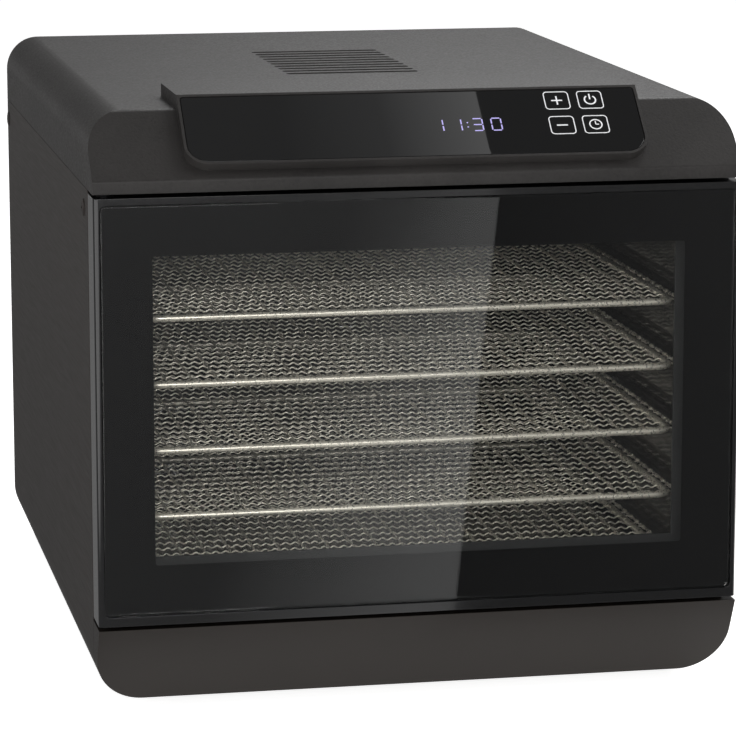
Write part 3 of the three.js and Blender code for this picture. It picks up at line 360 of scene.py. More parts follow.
def clear_glass(name, tint):
    """Tinted clear glass that lets lamps shine through."""
    material, tree = new_material(name)
    look = {"Base Color": tint, "Roughness": 0.0, "IOR": 1.45, "Transmission Weight": 1.0}
    glass = out(tree, "ShaderNodeBsdfPrincipled", look)
    clear = out(tree, "ShaderNodeBsdfTransparent", {"Color": tint})
    is_shadow = put(tree, "ShaderNodeLightPath").outputs["Is Shadow Ray"]
    mixed = out(tree, "ShaderNodeMixShader", {0: is_shadow, 1: glass, 2: clear})
    put(tree, "ShaderNodeOutputMaterial", {"Surface": mixed})
    return material


door_clear = clear_glass("clear door glass", (0.92, 0.93, 0.92, 1))
ink_black = coated("black ink on glass", (6, 6, 7), 0.1, (0.8, 0.9), 900, 0.002 * MM, specular=0.0)
touch_black = coated("black touch glass", (6, 6, 7), 0.1, (0.008, 0.014), 40, 0.0)
white_ink = coated("white key print", (226, 226, 228), 0.04, (0.35, 0.5), 600, 0.002 * MM, lit=0.25)
digit_light = coated(
    "violet digit light", (166, 158, 214), 0.04, (0.35, 0.5), 600, 0.002 * MM, lit=0.6
)
print("glasses and inks:", len(bpy.data.materials), "materials so far")

# %% [markdown]
# The cabinet's skin is one sheet of steel bent up into a U: left side, bottom and right side, with
# large bends at the bottom. It is drawn as a closed strip, outside line then inside line, and
# pushed from front to back.

# %% The bent side sheet
BEND_STEPS = 20


def body_outline(inset, top):
    """Front view of the body below the lid, inset by a wall."""
    low = BODY_Z + inset
    radius = BOTTOM_RADIUS - inset
    side = HALF - inset
    corners = [(-side, low, radius), (side, low, radius), (side, top, 0), (-side, top, 0)]
    return outline(corners, BEND_STEPS)


def sheet_section(top, wall):
    """The U as a closed strip: down and up again outside, then back inside."""
    outer = body_outline(0, top)
    inner = body_outline(wall, top)
    return outer[-1:] + outer[:-1] + inner[-2::-1] + inner[-1:]


side_sheet = prism(
    "side_sheet", sheet_section(wrap_high.z, SHEET), "Y", wrap_low.y, wrap_high.y
)
soften(side_sheet, 0.22 * MM, 2, 40)
finish(side_sheet, "casing", cabinet_paint, "cabinet_paint", "side_wrap")

# %% [markdown]
# The fascia below the door is a moulding that leans back towards its foot and wraps round the same
# bottom bends. Its front is flat, so an outline is pushed back and one leaning block trims it.

# %% The base fascia
BASE_WALL = 2.2 * MM
BASE_FACE_WALL = 1.15 * BASE_WALL
BASE_LEAN = (base_high.y - base_low.y - GAP) / (base_high.z - BODY_Z)


def leaning(offset, top, back):
    """Everything behind the leaning front plane, moved back by the offset."""
    foot = FRONT + offset + BASE_LEAN * (base_high.z - BODY_Z)
    head = FRONT + offset + BASE_LEAN * (base_high.z - top)
    side = [(foot, BODY_Z, 0), (back, BODY_Z, 0), (back, top, 0), (head, top, 0)]
    return prism("trim", outline(side), "X", -HALF - MM, HALF + MM)


fascia = prism("fascia_moulding", body_outline(0, base_high.z), "Y", FRONT, base_high.y)
combine(fascia, "INTERSECT", leaning(0, base_high.z, base_high.y + 5 * MM))
inner_top = base_high.z - BASE_WALL
inner_outline = body_outline(BASE_WALL, inner_top)
hollow = prism("hollow", inner_outline, "Y", FRONT, base_high.y + 30 * MM)
combine(hollow, "INTERSECT", leaning(BASE_FACE_WALL, inner_top, base_high.y + 40 * MM))
combine(fascia, "DIFFERENCE", hollow)
soften(fascia, 1.1 * MM, 4, 30)
finish(fascia, "casing", fascia_paint, "fascia", "base_front")

# %% [markdown]
# The lid is a moulded cover with round shoulders. Its front rises from a low upright lip as a
# slope, and the console stands on that slope. A side view and a front view are each pushed
# through, and what they share is the lid.

# %% The lid's shell
LID_HEIGHT = 39.1 * MM
LID_LIP = 6.6 * MM
LID_FRONT = 3 * MM
SLOPE_DEPTH = 36.4 * MM
LID_RADIUS = 20 * MM
LID_WALL = 2 * MM
SLOPE = math.atan2(LID_HEIGHT - LID_LIP, SLOPE_DEPTH)


def lid_solid(name, inset, low):
    """The lid as a solid block, inset by a wall."""
    top = LID_HEIGHT - inset
    drop = inset / math.cos(SLOPE)
    lean = math.tan(SLOPE)
    front = FRONT + LID_FRONT + inset
    lip = LID_LIP + inset * lean - drop
    shoulder = FRONT + LID_FRONT + (top + drop - LID_LIP) / lean
    back = BACK - inset
    side = [
        (front, low, 0),
        (back, low, 0),
        (back, top, 3 * MM),
        (shoulder, top, 5 * MM),
        (front, lip, 2.2 * MM),
    ]
    edge = HALF - inset
    seen = plate(-edge, edge, low, top, 0, LID_RADIUS - inset)
    body = prism(name, seen, "Y", front - MM, back + MM)
    return combine(body, "INTERSECT", prism("side", outline(side, 8), "X", -HALF - MM, HALF + MM))


def on_slope(piece):
    """Turns a piece drawn flat (across, up the slope, out of it) onto the lid's slope."""
    place = Matrix.Translation((0, FRONT + LID_FRONT, LID_LIP)) @ Matrix.Rotation(SLOPE, 4, "X")
    piece.data.transform(place)
    return piece


# %% [markdown]
# The console is a raised housing that the touch glass lies in. Its face is parallel to the slope
# and its top runs back flat, a little above the lid.

# %% The console's housing
CONSOLE_HALF = 123.5 * MM
CONSOLE_PROUD = 5 * MM
CONSOLE_FOOT = 6 * MM
CONSOLE_BACK = 100 * MM
CONSOLE_RISE = lid_high.z - lid_low.z - LID_HEIGHT
CONSOLE_RADIUS = 13 * MM
CONSOLE_RIM = 1.8 * MM
RISE = LID_HEIGHT - LID_LIP + CONSOLE_RISE
CONSOLE_REACH = (RISE - CONSOLE_PROUD * math.cos(SLOPE)) / math.sin(SLOPE)


def console_solid(name, inset, face_inset):
    """The housing as a solid block, inset by its walls."""
    half = CONSOLE_HALF - inset
    face = plate(-half, half, CONSOLE_FOOT + inset, 2 * CONSOLE_REACH, CONSOLE_RADIUS - inset, 0)
    leaning_part = on_slope(
        prism(name, face, "Z", -CONSOLE_BACK, CONSOLE_PROUD - face_inset)
    )
    plan = plate(-half, half, FRONT, FRONT + CONSOLE_BACK - inset, 0, 4.3 * MM)
    top = LID_HEIGHT + CONSOLE_RISE - inset
    return combine(leaning_part, "INTERSECT", prism("plan", plan, "Z", LID_LIP, top))


def touch_plate(name, clearance, low, high):
    """The touch glass's outline between two depths of the slope."""
    half = CONSOLE_HALF - CONSOLE_RIM + clearance
    foot = CONSOLE_FOOT + CONSOLE_RIM - clearance
    head = CONSOLE_REACH - CONSOLE_RIM + clearance
    radius = CONSOLE_RADIUS - CONSOLE_RIM + clearance
    face = plate(-half, half, foot, head, radius, CONSOLE_RIM)
    return on_slope(prism(name, face, "Z", low, high))


# %% [markdown]
# Ten slots over the duct let moist air out. What repeats is made by Geometry Nodes: a rounded
# slot is drawn once, set on a grid of points and made real. The same tree also makes the cutters
# for the roof, the baffle and the intake grille. The steps that several trees share come first.

# %% Steps that the node trees share


def new_tree(name, **kinds):
    """An empty geometry tree. Its inputs are named by kind, and the material is the last."""
    tree = bpy.data.node_groups.new(name, "GeometryNodeTree")
    inputs = [("Geometry", "Geometry")]
    inputs += [(label, kind) for kind, labels in kinds.items() for label in labels]
    for label, kind in [*inputs, ("Material", "Material")]:
        tree.interface.new_socket(label, in_out="INPUT", socket_type=f"NodeSocket{kind}")
    tree.interface.new_socket("Geometry", in_out="OUTPUT", socket_type="NodeSocketGeometry")
    return tree, put(tree, "NodeGroupInput").outputs


def deliver(tree, shape):
    """Ends a tree: copies are made real and take the material."""
    inputs = next(n for n in tree.nodes if n.type == "GROUP_INPUT").outputs
    real = out(tree, "GeometryNodeRealizeInstances", {0: shape})
    sockets = {"Geometry": real, "Material": inputs["Material"]}
    put(tree, "NodeGroupOutput", {0: out(tree, "GeometryNodeSetMaterial", sockets)})
    return tree


def scatter(tree, points, part, turn=(0, 0, 0)):
    """Ends a tree with a copy of the part on every point."""
    sockets = {"Points": points, "Instance": part, "Rotation": turn}
    return deliver(tree, out(tree, "GeometryNodeInstanceOnPoints", sockets))


def centred_row(tree, count, pitch):
    """Points in a row along Y whose middle is the origin."""
    span = maths(tree, "MULTIPLY", maths(tree, "SUBTRACT", count, 1.0), pitch)
    start = xyz(tree, y=maths(tree, "MULTIPLY", span, -0.5))
    sockets = {"Count": count, "Start Location": start, "Offset": xyz(tree, y=pitch)}
    return out(tree, "GeometryNodeMeshLine", sockets)


def rounded_box(tree, width, height, corner, steps):
    """A rectangle with rounded corners, as a curve."""
    sockets = {"Width": width, "Height": height}
    box = out(tree, "GeometryNodeCurvePrimitiveQuadrilateral", sockets)
    sockets = {"Curve": box, "Radius": corner, "Count": steps, "Limit Radius": True}
    return out(tree, "GeometryNodeFilletCurve", sockets, mode="POLY")


def swept(tree, curve, radius, sides):
    """A curve given a round section, with its ends closed."""
    sockets = {"Resolution": sides, "Radius": radius}
    section = out(tree, "GeometryNodeCurvePrimitiveCircle", sockets)
    sockets = {"Curve": curve, "Profile Curve": section, "Fill Caps": True}
    return out(tree, "GeometryNodeCurveToMesh", sockets)


def grow(name, tree, material, values, start=None):
    """Runs a tree with its inputs set and keeps the result as plain mesh."""
    made = add_object(name, start or bpy.data.meshes.new(name))
    grower = made.modifiers.new("grow", "NODES")
    grower.node_group = tree
    given = {**values, "Material": material}
    for item in tree.interface.items_tree:
        if item.in_out == "INPUT" and item.name in given:
            grower[item.identifier] = given[item.name]
    return settle(made)


# %% Rows of slots
SLOT_SIZES = ("Column Pitch", "Row Pitch", "Length", "Width", "Depth", "Corner")
CORNER_STEPS = 6


def slot_tree():
    """Rounded slots on a grid, as solids that can be cut away."""
    tree, given = new_tree("rows of slots", Int=("Columns", "Rows"), Float=SLOT_SIZES)
    shape = rounded_box(tree, given["Length"], given["Width"], given["Corner"], CORNER_STEPS)
    filled = out(tree, "GeometryNodeFillCurve", {0: shape}, mode="NGONS")
    sockets = {"Mesh": filled, "Offset Scale": given["Depth"], "Individual": False}
    both = put(tree, "GeometryNodeJoinGeometry", {0: out(tree, "GeometryNodeExtrudeMesh", sockets)})
    tree.links.new(out(tree, "GeometryNodeFlipFaces", {0: filled}), both.inputs[0])
    sockets = {"Geometry": both.outputs[0], "Distance": 1e-6}
    slot = out(tree, "GeometryNodeMergeByDistance", sockets)
    grid = {}
    for axis, count, pitch in (("X", "Columns", "Column Pitch"), ("Y", "Rows", "Row Pitch")):
        gaps = maths(tree, "SUBTRACT", given[count], 1.0)
        grid[f"Size {axis}"] = maths(tree, "MULTIPLY", gaps, given[pitch])
        grid[f"Vertices {axis}"] = given[count]
    return scatter(tree, out(tree, "GeometryNodeMeshGrid", grid), slot)


SLOTS = slot_tree()


def slots(name, place, columns, rows, pitches, size, depth, corner):
    """Solid slots in rows, centred on the origin and then moved to their place."""
    labels = ("Columns", "Rows", *SLOT_SIZES)
    values = dict(zip(labels, (columns, rows, *pitches, *size, depth, corner)))
    made = grow(name, SLOTS, enamel, values)
    made.data.transform(place)
    with edited(made) as shape:
        bmesh.ops.recalc_face_normals(shape, faces=shape.faces)
    return made


print("slot tree:", len(SLOTS.nodes), "nodes, inputs", len(SLOT_SIZES) + 3)

# %% [markdown]
# The cover is now cut out: the hollow inside, the recess for the touch glass and the ten vents. The
# vents' cutters come from the slot tree, and they cut after the big edges are rounded, because a
# vent's own edges are nearly sharp and stay dark.

# %% The lid with its console and vents
VENT_PITCH = 13.3 * MM
VENT_SIZE = (76 * MM, 6.6 * MM)
VENT_COUNT = 10
VENT_START = FRONT + 191 * MM
VENT_MIDDLE = VENT_START + (VENT_COUNT - 1) / 2 * VENT_PITCH + VENT_SIZE[1] / 2
TOUCH_RECESS = 1.6 * MM
CONSOLE_SKIN = 3.2 * MM

cover = lid_solid("lid_cover", 0, 0)
combine(cover, "UNION", console_solid("console", 0, 0))
inside = lid_solid("inside", LID_WALL, -MM)
combine(inside, "UNION", console_solid("console_inside", LID_WALL, CONSOLE_SKIN))
vent_place = Matrix.Translation((0, VENT_MIDDLE, LID_HEIGHT - 2 * LID_WALL))
vents = slots(
    "vents", vent_place, 1, VENT_COUNT, (0, VENT_PITCH), VENT_SIZE, 4 * LID_WALL, 2.2 * MM
)
recess = touch_plate("recess", GAP, CONSOLE_PROUD - TOUCH_RECESS, CONSOLE_PROUD + 8 * MM)
combine(cover, "DIFFERENCE", inside, recess)
soften(cover, 0.5 * MM, 3, 26)
combine(cover, "DIFFERENCE", vents)
soften(cover, 0.12 * MM, 2, 50)
moved(cover, z=lid_low.z)
finish(cover, "casing", lid_plastic, "lid_plastic", "top_cover")

# %% [markdown]
# Black blades lie slanted under the vents, so that nothing drops straight into the duct. They
# are one more row of copies.

# %% Blades under the vents
BLADE_SIZES = ("Pitch", "Length", "Width", "Thickness", "Slant")


def blade_tree():
    """Slanted blades in a row along Y."""
    tree, given = new_tree("row of slanted blades", Int=("Count",), Float=BLADE_SIZES)
    size = xyz(tree, given["Length"], given["Width"], given["Thickness"])
    blade = out(tree, "GeometryNodeMeshCube", {"Size": size})
    row = centred_row(tree, given["Count"], given["Pitch"])
    return scatter(tree, row, blade, xyz(tree, given["Slant"]))


BLADES = blade_tree()


def blades(name, place, count, pitch, size, slant, material):
    """A row of slanted blades along Y, moved to its place."""
    values = dict(zip(("Count", *BLADE_SIZES), (count, pitch, *size, math.radians(slant))))
    row = grow(name, BLADES, material, values)
    row.data.transform(place)
    return row


duct_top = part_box("vent_duct")[1]
blade_place = Matrix.Translation((0, VENT_MIDDLE, duct_top.z - 5 * MM))
blade_size = (duct_top.x * 2 - 3.4 * MM, 9 * MM, 1.2 * MM)
vent_blades = blades(
    "vent_blades", blade_place, VENT_COUNT, VENT_PITCH, blade_size, -32, dark_plastic
)
soften(vent_blades, 0.3 * MM, 2, 30)
finish(vent_blades, "casing", dark_plastic, "dark_plastic")

# %% [markdown]
# The touch glass is one black pane with softened edges. The clock's digits shine through it and
# the keys are printed on it. Both are made as very thin solids that lie on the pane, so they stay
# sharp from close by.

# %% The touch glass
touch_low = CONSOLE_PROUD - TOUCH_RECESS + GAP / 2
touch_top = touch_low + 1.2 * MM
touch_glass = moved(touch_plate("touch_glass", 0, touch_low, touch_top), z=lid_low.z)
soften(touch_glass, 0.35 * MM, 3, 40)
finish(touch_glass, "casing", touch_black, "touch_glass", "console_glass")

# %% Drawing thin marks on the pane
MARK_THICKNESS = 0.05 * MM


def mark(name, points):
    """A thin flat shape on the touch glass, from (across, up the slope) points."""
    return prism(name, points, "Z", touch_top, touch_top + MARK_THICKNESS)


def stroke(start, end, width):
    """The outline of a straight stroke with square ends."""
    side = (end - start).normalized().orthogonal() * width / 2
    return [start - side, end - side, end + side, start + side]


def loop_mark(name, outer, inner):
    """A thin ring: the first outline with the second one cut out."""
    hole = prism("hole", inner, "Z", touch_top - MM, touch_top + MM)
    return combine(mark(name, outer), "DIFFERENCE", hole)


def circle(centre, radius, steps=32, first=0.0, last=2 * math.pi):
    """Points round a circle, or round part of one."""
    full = last - first >= 2 * math.pi - 1e-6
    count = steps if full else steps + 1
    angles = [first + (last - first) * i / steps for i in range(count)]
    x, y = centre
    return [Vector((x + radius * math.cos(a), y + radius * math.sin(a))) for a in angles]


def arc_mark(name, centre, radius, width, first, last):
    """A thin open ring between two angles."""
    outer = circle(centre, radius + width / 2, 32, first, last)
    inner = circle(centre, radius - width / 2, 32, first, last)
    return mark(name, outer + inner[::-1])


def gather(name, shapes):
    """Joins shapes into one piece and sets it on the lid's slope."""
    whole = bmesh.new()
    for shape in shapes:
        whole.from_mesh(shape.data)
        bpy.data.objects.remove(shape)
    return moved(on_slope(to_object(name, whole)), z=lid_low.z)


# %% [markdown]
# The clock shows plain seven-segment digits. Each digit is a list of the segments that are lit, so
# changing the time means changing one line.

# %% The clock's digits
DIGIT_WIDTH = 5.2 * MM
DIGIT_HEIGHT = 8.3 * MM
DIGIT_STROKE = 0.7 * MM
DIGIT_FOOT = 24.5 * MM
SEGMENT_GAP = 0.62 * DIGIT_STROKE
SEGMENTS = {
    "top": ((0, 1), (1, 1)),
    "middle": ((0, 0.5), (1, 0.5)),
    "bottom": ((0, 0), (1, 0)),
    "upper left": ((0, 0.5), (0, 1)),
    "upper right": ((1, 0.5), (1, 1)),
    "lower left": ((0, 0), (0, 0.5)),
    "lower right": ((1, 0), (1, 0.5)),
}
LIT = {
    "1": ("upper right", "lower right"),
    "3": ("top", "middle", "bottom", "upper right", "lower right"),
    "0": ("top", "bottom", "upper left", "upper right", "lower left", "lower right"),
}


def segment_mark(segment, left):
    """One lit segment of a digit whose left side is at left."""
    start, end = [
        Vector((left + x * DIGIT_WIDTH, DIGIT_FOOT + y * DIGIT_HEIGHT))
        for x, y in SEGMENTS[segment]
    ]
    along = (end - start).normalized() * SEGMENT_GAP
    return mark(segment, stroke(start + along, end - along, DIGIT_STROKE))


clock = []
for character, left in (("1", 9.5), ("1", 19.4), ("3", 30.8), ("0", 40.9)):
    clock += [segment_mark(segment, left * MM) for segment in LIT[character]]
for height in (0.32, 0.68):
    dot = (28.0 * MM, DIGIT_FOOT + height * DIGIT_HEIGHT)
    clock.append(mark("dot", circle(dot, DIGIT_STROKE * 0.6, 16)))
finish(gather("clock_digits", clock), "casing", digit_light, "touch_glass")

# %% [markdown]
# Four keys, each a rounded square outline. The left two carry plus and minus; the right two carry
# a power sign and a clock face, plain signs that any maker could use.

# %% The key print
KEY_HALF = 6.9 * MM
KEY_HALF_TALL = 6.3 * MM
KEY_LINE = 0.55 * MM
KEY_COLUMNS = (78.8 * MM, 97.0 * MM)
KEY_ROWS = (26.9 * MM, 44.2 * MM)
SIGN_LINE = 0.42 * MM


def bar(x, y, wide, tall, corner=0.0):
    """A rectangle round its middle, from its half sizes."""
    return plate(x - wide, x + wide, y - tall, y + tall, corner, corner)


def key_box(x, y):
    """A key's outline."""
    outer = bar(x, y, KEY_HALF, KEY_HALF_TALL, 2.2 * MM)
    inner = bar(x, y, KEY_HALF - KEY_LINE, KEY_HALF_TALL - KEY_LINE, 1.7 * MM)
    return loop_mark("key", outer, inner)


left, right = KEY_COLUMNS
low, high = KEY_ROWS
prints = [key_box(x, y) for x in KEY_COLUMNS for y in KEY_ROWS]
prints += [mark("sign", bar(left, y, 3 * MM, SIGN_LINE)) for y in (high, low)]
prints += [mark("plus", bar(left, high + y * MM, SIGN_LINE, 1.28 * MM)) for y in (1.7, -1.7)]
power = (math.radians(125), math.radians(415))
prints.append(arc_mark("power", (right, high), 3 * MM, 2 * SIGN_LINE, *power))
prints.append(mark("power", bar(right, high + 2.2 * MM, SIGN_LINE, 1.9 * MM)))
prints.append(loop_mark("clock", circle((right, low), 3.6 * MM), circle((right, low), 2.9 * MM)))
hub = Vector((right, low))
for hand in ((0, 2.3 * MM), (1.7 * MM, 0)):
    prints.append(mark("hand", stroke(hub, hub + Vector(hand), 1.5 * SIGN_LINE)))
finish(gather("key_print", prints), "casing", white_ink, "touch_glass")

# %% [markdown]
# The door is a moulded ring of gloss black plastic with a full-width pane in front of it. The ring
# is drawn as one plate seen from above, cut out for the pane, the window and the retainer.

# %% The door's frame
RING_WIDTH = 22.5 * MM
GLASS_CORNER = 3 * MM
retainer_low, retainer_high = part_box("door_retainer")


def door_block(name, half, low, high, front, back, corner=0.0):
    """A block across the door with rounded corners, seen from the front."""
    return prism(name, plate(-half, half, low, high, corner, corner), "Y", front, back)


plan = [
    (-HALF, FRONT, 2.6 * MM),
    (HALF, FRONT, 2.6 * MM),
    (HALF, door_high.y, 1.5 * MM),
    (-HALF, door_high.y, 1.5 * MM),
]
door_ring = prism("door_ring", outline(plan, 10), "Z", door_low.z, door_high.z)
pocket = door_block(
    "pocket", glass_high.x + GAP, glass_low.z - GAP, glass_high.z + GAP,
    FRONT - MM, glass_high.y + GAP, GLASS_CORNER + GAP,
)
opening = door_block(
    "opening", HALF - RING_WIDTH, door_low.z + RING_WIDTH, door_high.z - RING_WIDTH,
    FRONT - MM, door_high.y + MM, 2 * MM,
)
rebate = door_block(
    "rebate", retainer_high.x + GAP, retainer_low.z - GAP, retainer_high.z + GAP,
    retainer_low.y - GAP, door_high.y + MM,
)
combine(door_ring, "DIFFERENCE", pocket, opening, rebate)
for end in ("lower", "upper"):
    bush_low, bush_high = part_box(f"hinge_bush_{end}")
    middle = ((bush_low.x + bush_high.x) / 2, (bush_low.y + bush_high.y) / 2)
    hole = circle(middle, (bush_high.x - bush_low.x) / 2 + GAP, 24)
    hole_low = bush_low.z - GAP if end == "upper" else door_low.z - MM
    hole_high = bush_high.z + GAP if end == "lower" else door_high.z + MM
    combine(door_ring, "DIFFERENCE", prism("bush", hole, "Z", hole_low, hole_high))
    plate_low, plate_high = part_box(f"striker_{end}")
    seat = plate(plate_low.x - GAP, plate_high.x + GAP, plate_low.z - GAP, plate_high.z + GAP)
    seat_block = prism("seat", seat, "Y", plate_low.y - GAP, door_high.y + MM)
    combine(door_ring, "DIFFERENCE", seat_block)
soften(door_ring, 0.7 * MM, 4, 34)
finish(door_ring, "door", door_trim, "door_trim", "door_frame")

# %% [markdown]
# The pane is real clear glass over the whole door. Its dark border is ink on the back of the
# glass, made as a thin black ring just behind it, so it keeps the glass's depth and reflections.

# %% The pane and its ink border
INK_THICKNESS = 0.15 * MM
INK_MARGIN = 0.4 * MM
WINDOW_CORNER = 1.5 * MM
WINDOW_SIDE = 30.5 * MM
WINDOW_BELOW = 31.4 * MM
WINDOW_ABOVE = 31 * MM
ink_front = glass_high.y - INK_THICKNESS
pane = door_block(
    "pane", glass_high.x, glass_low.z, glass_high.z,
    glass_low.y, ink_front - 0.05 * MM, GLASS_CORNER,
)
soften(pane, 0.8 * MM, 2, 50)
finish(pane, "door", door_clear, "door_glass", "door_glass")

ink = door_block(
    "ink_border", glass_high.x - INK_MARGIN, glass_low.z + INK_MARGIN, glass_high.z - INK_MARGIN,
    ink_front, glass_high.y, GLASS_CORNER,
)
see_through = door_block(
    "see_through", HALF - WINDOW_SIDE, door_low.z + WINDOW_BELOW, door_high.z - WINDOW_ABOVE,
    FRONT - MM, door_high.y, WINDOW_CORNER,
)
combine(ink, "DIFFERENCE", see_through)
finish(ink, "door", ink_black, "door_glass")

# %% [markdown]
# A tray is woven from crimped wire. The crimp is finer than the mesh: a wire makes two and a half
# waves from one crossing to the next, so it is up at one crossing and down at the one after. One
# wire is drawn as a wave and copied in a row, and every second copy is turned half round, which
# makes the crossings interlock.

# %% A node tree for crimped wires
WIRE_SIDES = 5
WAVE_STEPS = 6
WIRE_SIZES = ("Pitch", "Length", "First Crossing", "Wave", "Crimp", "Wire Radius", "Phase")


def wire_tree():
    """Wavy wires along X, in a row along Y."""
    tree, given = new_tree("row of crimped wires", Int=("Count",), Float=WIRE_SIZES)
    half = maths(tree, "MULTIPLY", given["Length"], 0.5)
    start = xyz(tree, maths(tree, "MULTIPLY", half, -1.0))
    sockets = {"Start": start, "End": xyz(tree, half)}
    line = out(tree, "GeometryNodeCurvePrimitiveLine", sockets)
    step = maths(tree, "MULTIPLY", given["Wave"], 1 / WAVE_STEPS)
    sockets = {"Curve": line, "Length": step}
    steps = out(tree, "GeometryNodeResampleCurve", sockets, mode="LENGTH")
    along = out(tree, "ShaderNodeSeparateXYZ", {0: out(tree, "GeometryNodeInputPosition")})
    from_first = maths(tree, "SUBTRACT", along, given["First Crossing"])
    turns = maths(tree, "DIVIDE", from_first, given["Wave"])
    wave = maths(tree, "COSINE", maths(tree, "MULTIPLY", turns, 2 * math.pi))
    lift = xyz(tree, z=maths(tree, "MULTIPLY", wave, given["Crimp"]))
    waved = out(tree, "GeometryNodeSetPosition", {"Geometry": steps, "Offset": lift})
    wire = swept(tree, waved, given["Wire Radius"], WIRE_SIDES)
    odd = maths(tree, "MODULO", out(tree, "GeometryNodeInputIndex"), 2.0)
    turned = maths(tree, "MULTIPLY", odd, math.pi)
    turn = xyz(tree, maths(tree, "ADD", turned, given["Phase"]))
    return scatter(tree, centred_row(tree, given["Count"], given["Pitch"]), wire, turn)


WIRES = wire_tree()
print("wire tree:", len(WIRES.nodes), "nodes")

# %% [markdown]
# The rod frame is a rounded rectangle swept with a round section, heavier than the mesh wires.
# Small weld beads sit where the deep wires meet the front rod. Past the frame's side rods the mesh
# ends in one more wire, and each row is knotted round it, which gives the tray its bright edge.

# %% A node tree for rod frames, and one for beads
ROD_SIDES = 14
ROD_CORNER_STEPS = 8


def rod_tree():
    """One rod bent into a closed frame."""
    tree, given = new_tree("rod frame", Float=("Width", "Length", "Corner", "Rod Radius"))
    bent = rounded_box(tree, given["Width"], given["Length"], given["Corner"], ROD_CORNER_STEPS)
    return deliver(tree, swept(tree, bent, given["Rod Radius"], ROD_SIDES))


def bead_tree():
    """Round beads in a row."""
    tree, given = new_tree(
        "row of beads", Int=("Count",), Vector=("Start", "Step"), Float=("Bead Radius",)
    )
    sockets = {"Count": given["Count"], "Start Location": given["Start"], "Offset": given["Step"]}
    row = out(tree, "GeometryNodeMeshLine", sockets)
    sockets = {"Radius": given["Bead Radius"], "Subdivisions": 2}
    return scatter(tree, row, out(tree, "GeometryNodeMeshIcoSphere", sockets))


RODS = rod_tree()
BEADS = bead_tree()
print("rod and bead trees:", len(RODS.nodes), len(BEADS.nodes), "nodes")

# %% Weaving one tray
MESH_PITCH = 13.7 * MM
ROWS_ACROSS = 23
ROW_PITCH = 13.1 * MM
WIRES_DEEP = 20
WAVES_PER_CELL = 2.5
CRIMP = 0.6 * MM
WIRE_RADIUS = 0.5 * MM
ROD_RADIUS = 1.9 * MM
ROD_CORNER = 9 * MM
ROD_LIFT = 0.4 * MM
MESH_LIFT = 0.65 * MM
FRAME_HALF = 143.5 * MM
TRAY_HALF = 150 * MM
KNOT = 1.25 * MM
WELD = 1.1 * MM
WELD_BACK = 0.9 * MM
WELD_SUNK = 0.5 * MM

tray_low, tray_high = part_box("tray_1")
tray_length = tray_high.y - tray_low.y
rod_length = tray_length - 2 * ROD_RADIUS
reach_across = (WIRES_DEEP - 1) * MESH_PITCH / 2
reach_deep = (ROWS_ACROSS - 1) * ROW_PITCH / 2
EDGE = TRAY_HALF - KNOT


def wires(name, count, pitch, length, first, cell, phase):
    """A row of crimped wires whose first crossing is at the given place along them."""
    wave = cell / WAVES_PER_CELL
    sizes = (count, pitch, length, first, wave, CRIMP, WIRE_RADIUS, phase)
    return grow(name, WIRES, wire_steel, dict(zip(("Count", *WIRE_SIZES), sizes)))


def beads(name, count, start, step, radius):
    """A row of round beads."""
    values = {"Count": count, "Start": start, "Step": step, "Bead Radius": radius}
    return grow(name, BEADS, wire_steel, values)


def weave():
    """One tray centred on the origin: mesh both ways, rod frame, welds and knotted ends."""
    across = wires("across", ROWS_ACROSS, ROW_PITCH, 2 * EDGE, -reach_across, MESH_PITCH, 0.0)
    deep = wires("deep", WIRES_DEEP, MESH_PITCH, rod_length, -reach_deep, ROW_PITCH, math.pi)
    edges = wires("edges", 2, 2 * EDGE, 2 * reach_deep, -reach_deep, ROW_PITCH, math.pi)
    for row in (deep, edges):
        row.data.transform(Matrix.Rotation(math.pi / 2, 4, "Z"))
    parts = [moved(row, z=MESH_LIFT) for row in (across, deep, edges)]
    frame_sizes = {"Width": 2 * FRAME_HALF, "Length": rod_length}
    frame_sizes |= {"Corner": ROD_CORNER, "Rod Radius": ROD_RADIUS}
    parts.append(moved(grow("rods", RODS, wire_steel, frame_sizes), z=ROD_LIFT))
    weld_y = -tray_length / 2 + ROD_RADIUS + WELD_BACK
    weld_start = (-reach_across, weld_y, ROD_LIFT + ROD_RADIUS - WELD_SUNK)
    parts.append(beads("welds", WIRES_DEEP, weld_start, (MESH_PITCH, 0, 0), WELD))
    for side in (-1, 1):
        knot_start = (side * EDGE, -reach_deep, MESH_LIFT)
        parts.append(beads("knots", ROWS_ACROSS, knot_start, (0, ROW_PITCH, 0), KNOT))
    whole = bmesh.new()
    for part in parts:
        whole.from_mesh(part.data)
        bpy.data.objects.remove(part)
    mesh = bpy.data.meshes.new("woven tray")
    whole.to_mesh(mesh)
    whole.free()
    mesh.shade_smooth()
    return mesh


woven = weave()
for number in range(1, 6):
    low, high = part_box(f"tray_{number}")
    tray = moved(add_object(f"mesh_tray_{number}", woven.copy()), *(low + high) / 2)
    finish(tray, f"tray_{number}", wire_steel, "tray_steel", f"tray_{number}")

# %% [markdown]
# Behind the trays a sheet of enamelled steel spreads the fan's air through rows of slots. The
# chamber's roof has five slots of its own, under the duct. Both are flat sheets cut by the slot
# tree, with the sharp edges taken off.

# %% The air baffle and the chamber's roof
BAFFLE_COLUMNS = 3
BAFFLE_ROWS = 6
BAFFLE_BAR = 25 * MM
baffle_low, baffle_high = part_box("air_baffle")
baffle_middle = (baffle_low + baffle_high) / 2


def sheet_of(name, low, high):
    """A flat sheet from its low and high corners."""
    return prism(name, plate(low.x, high.x, low.y, high.y), "Z", low.z, high.z)


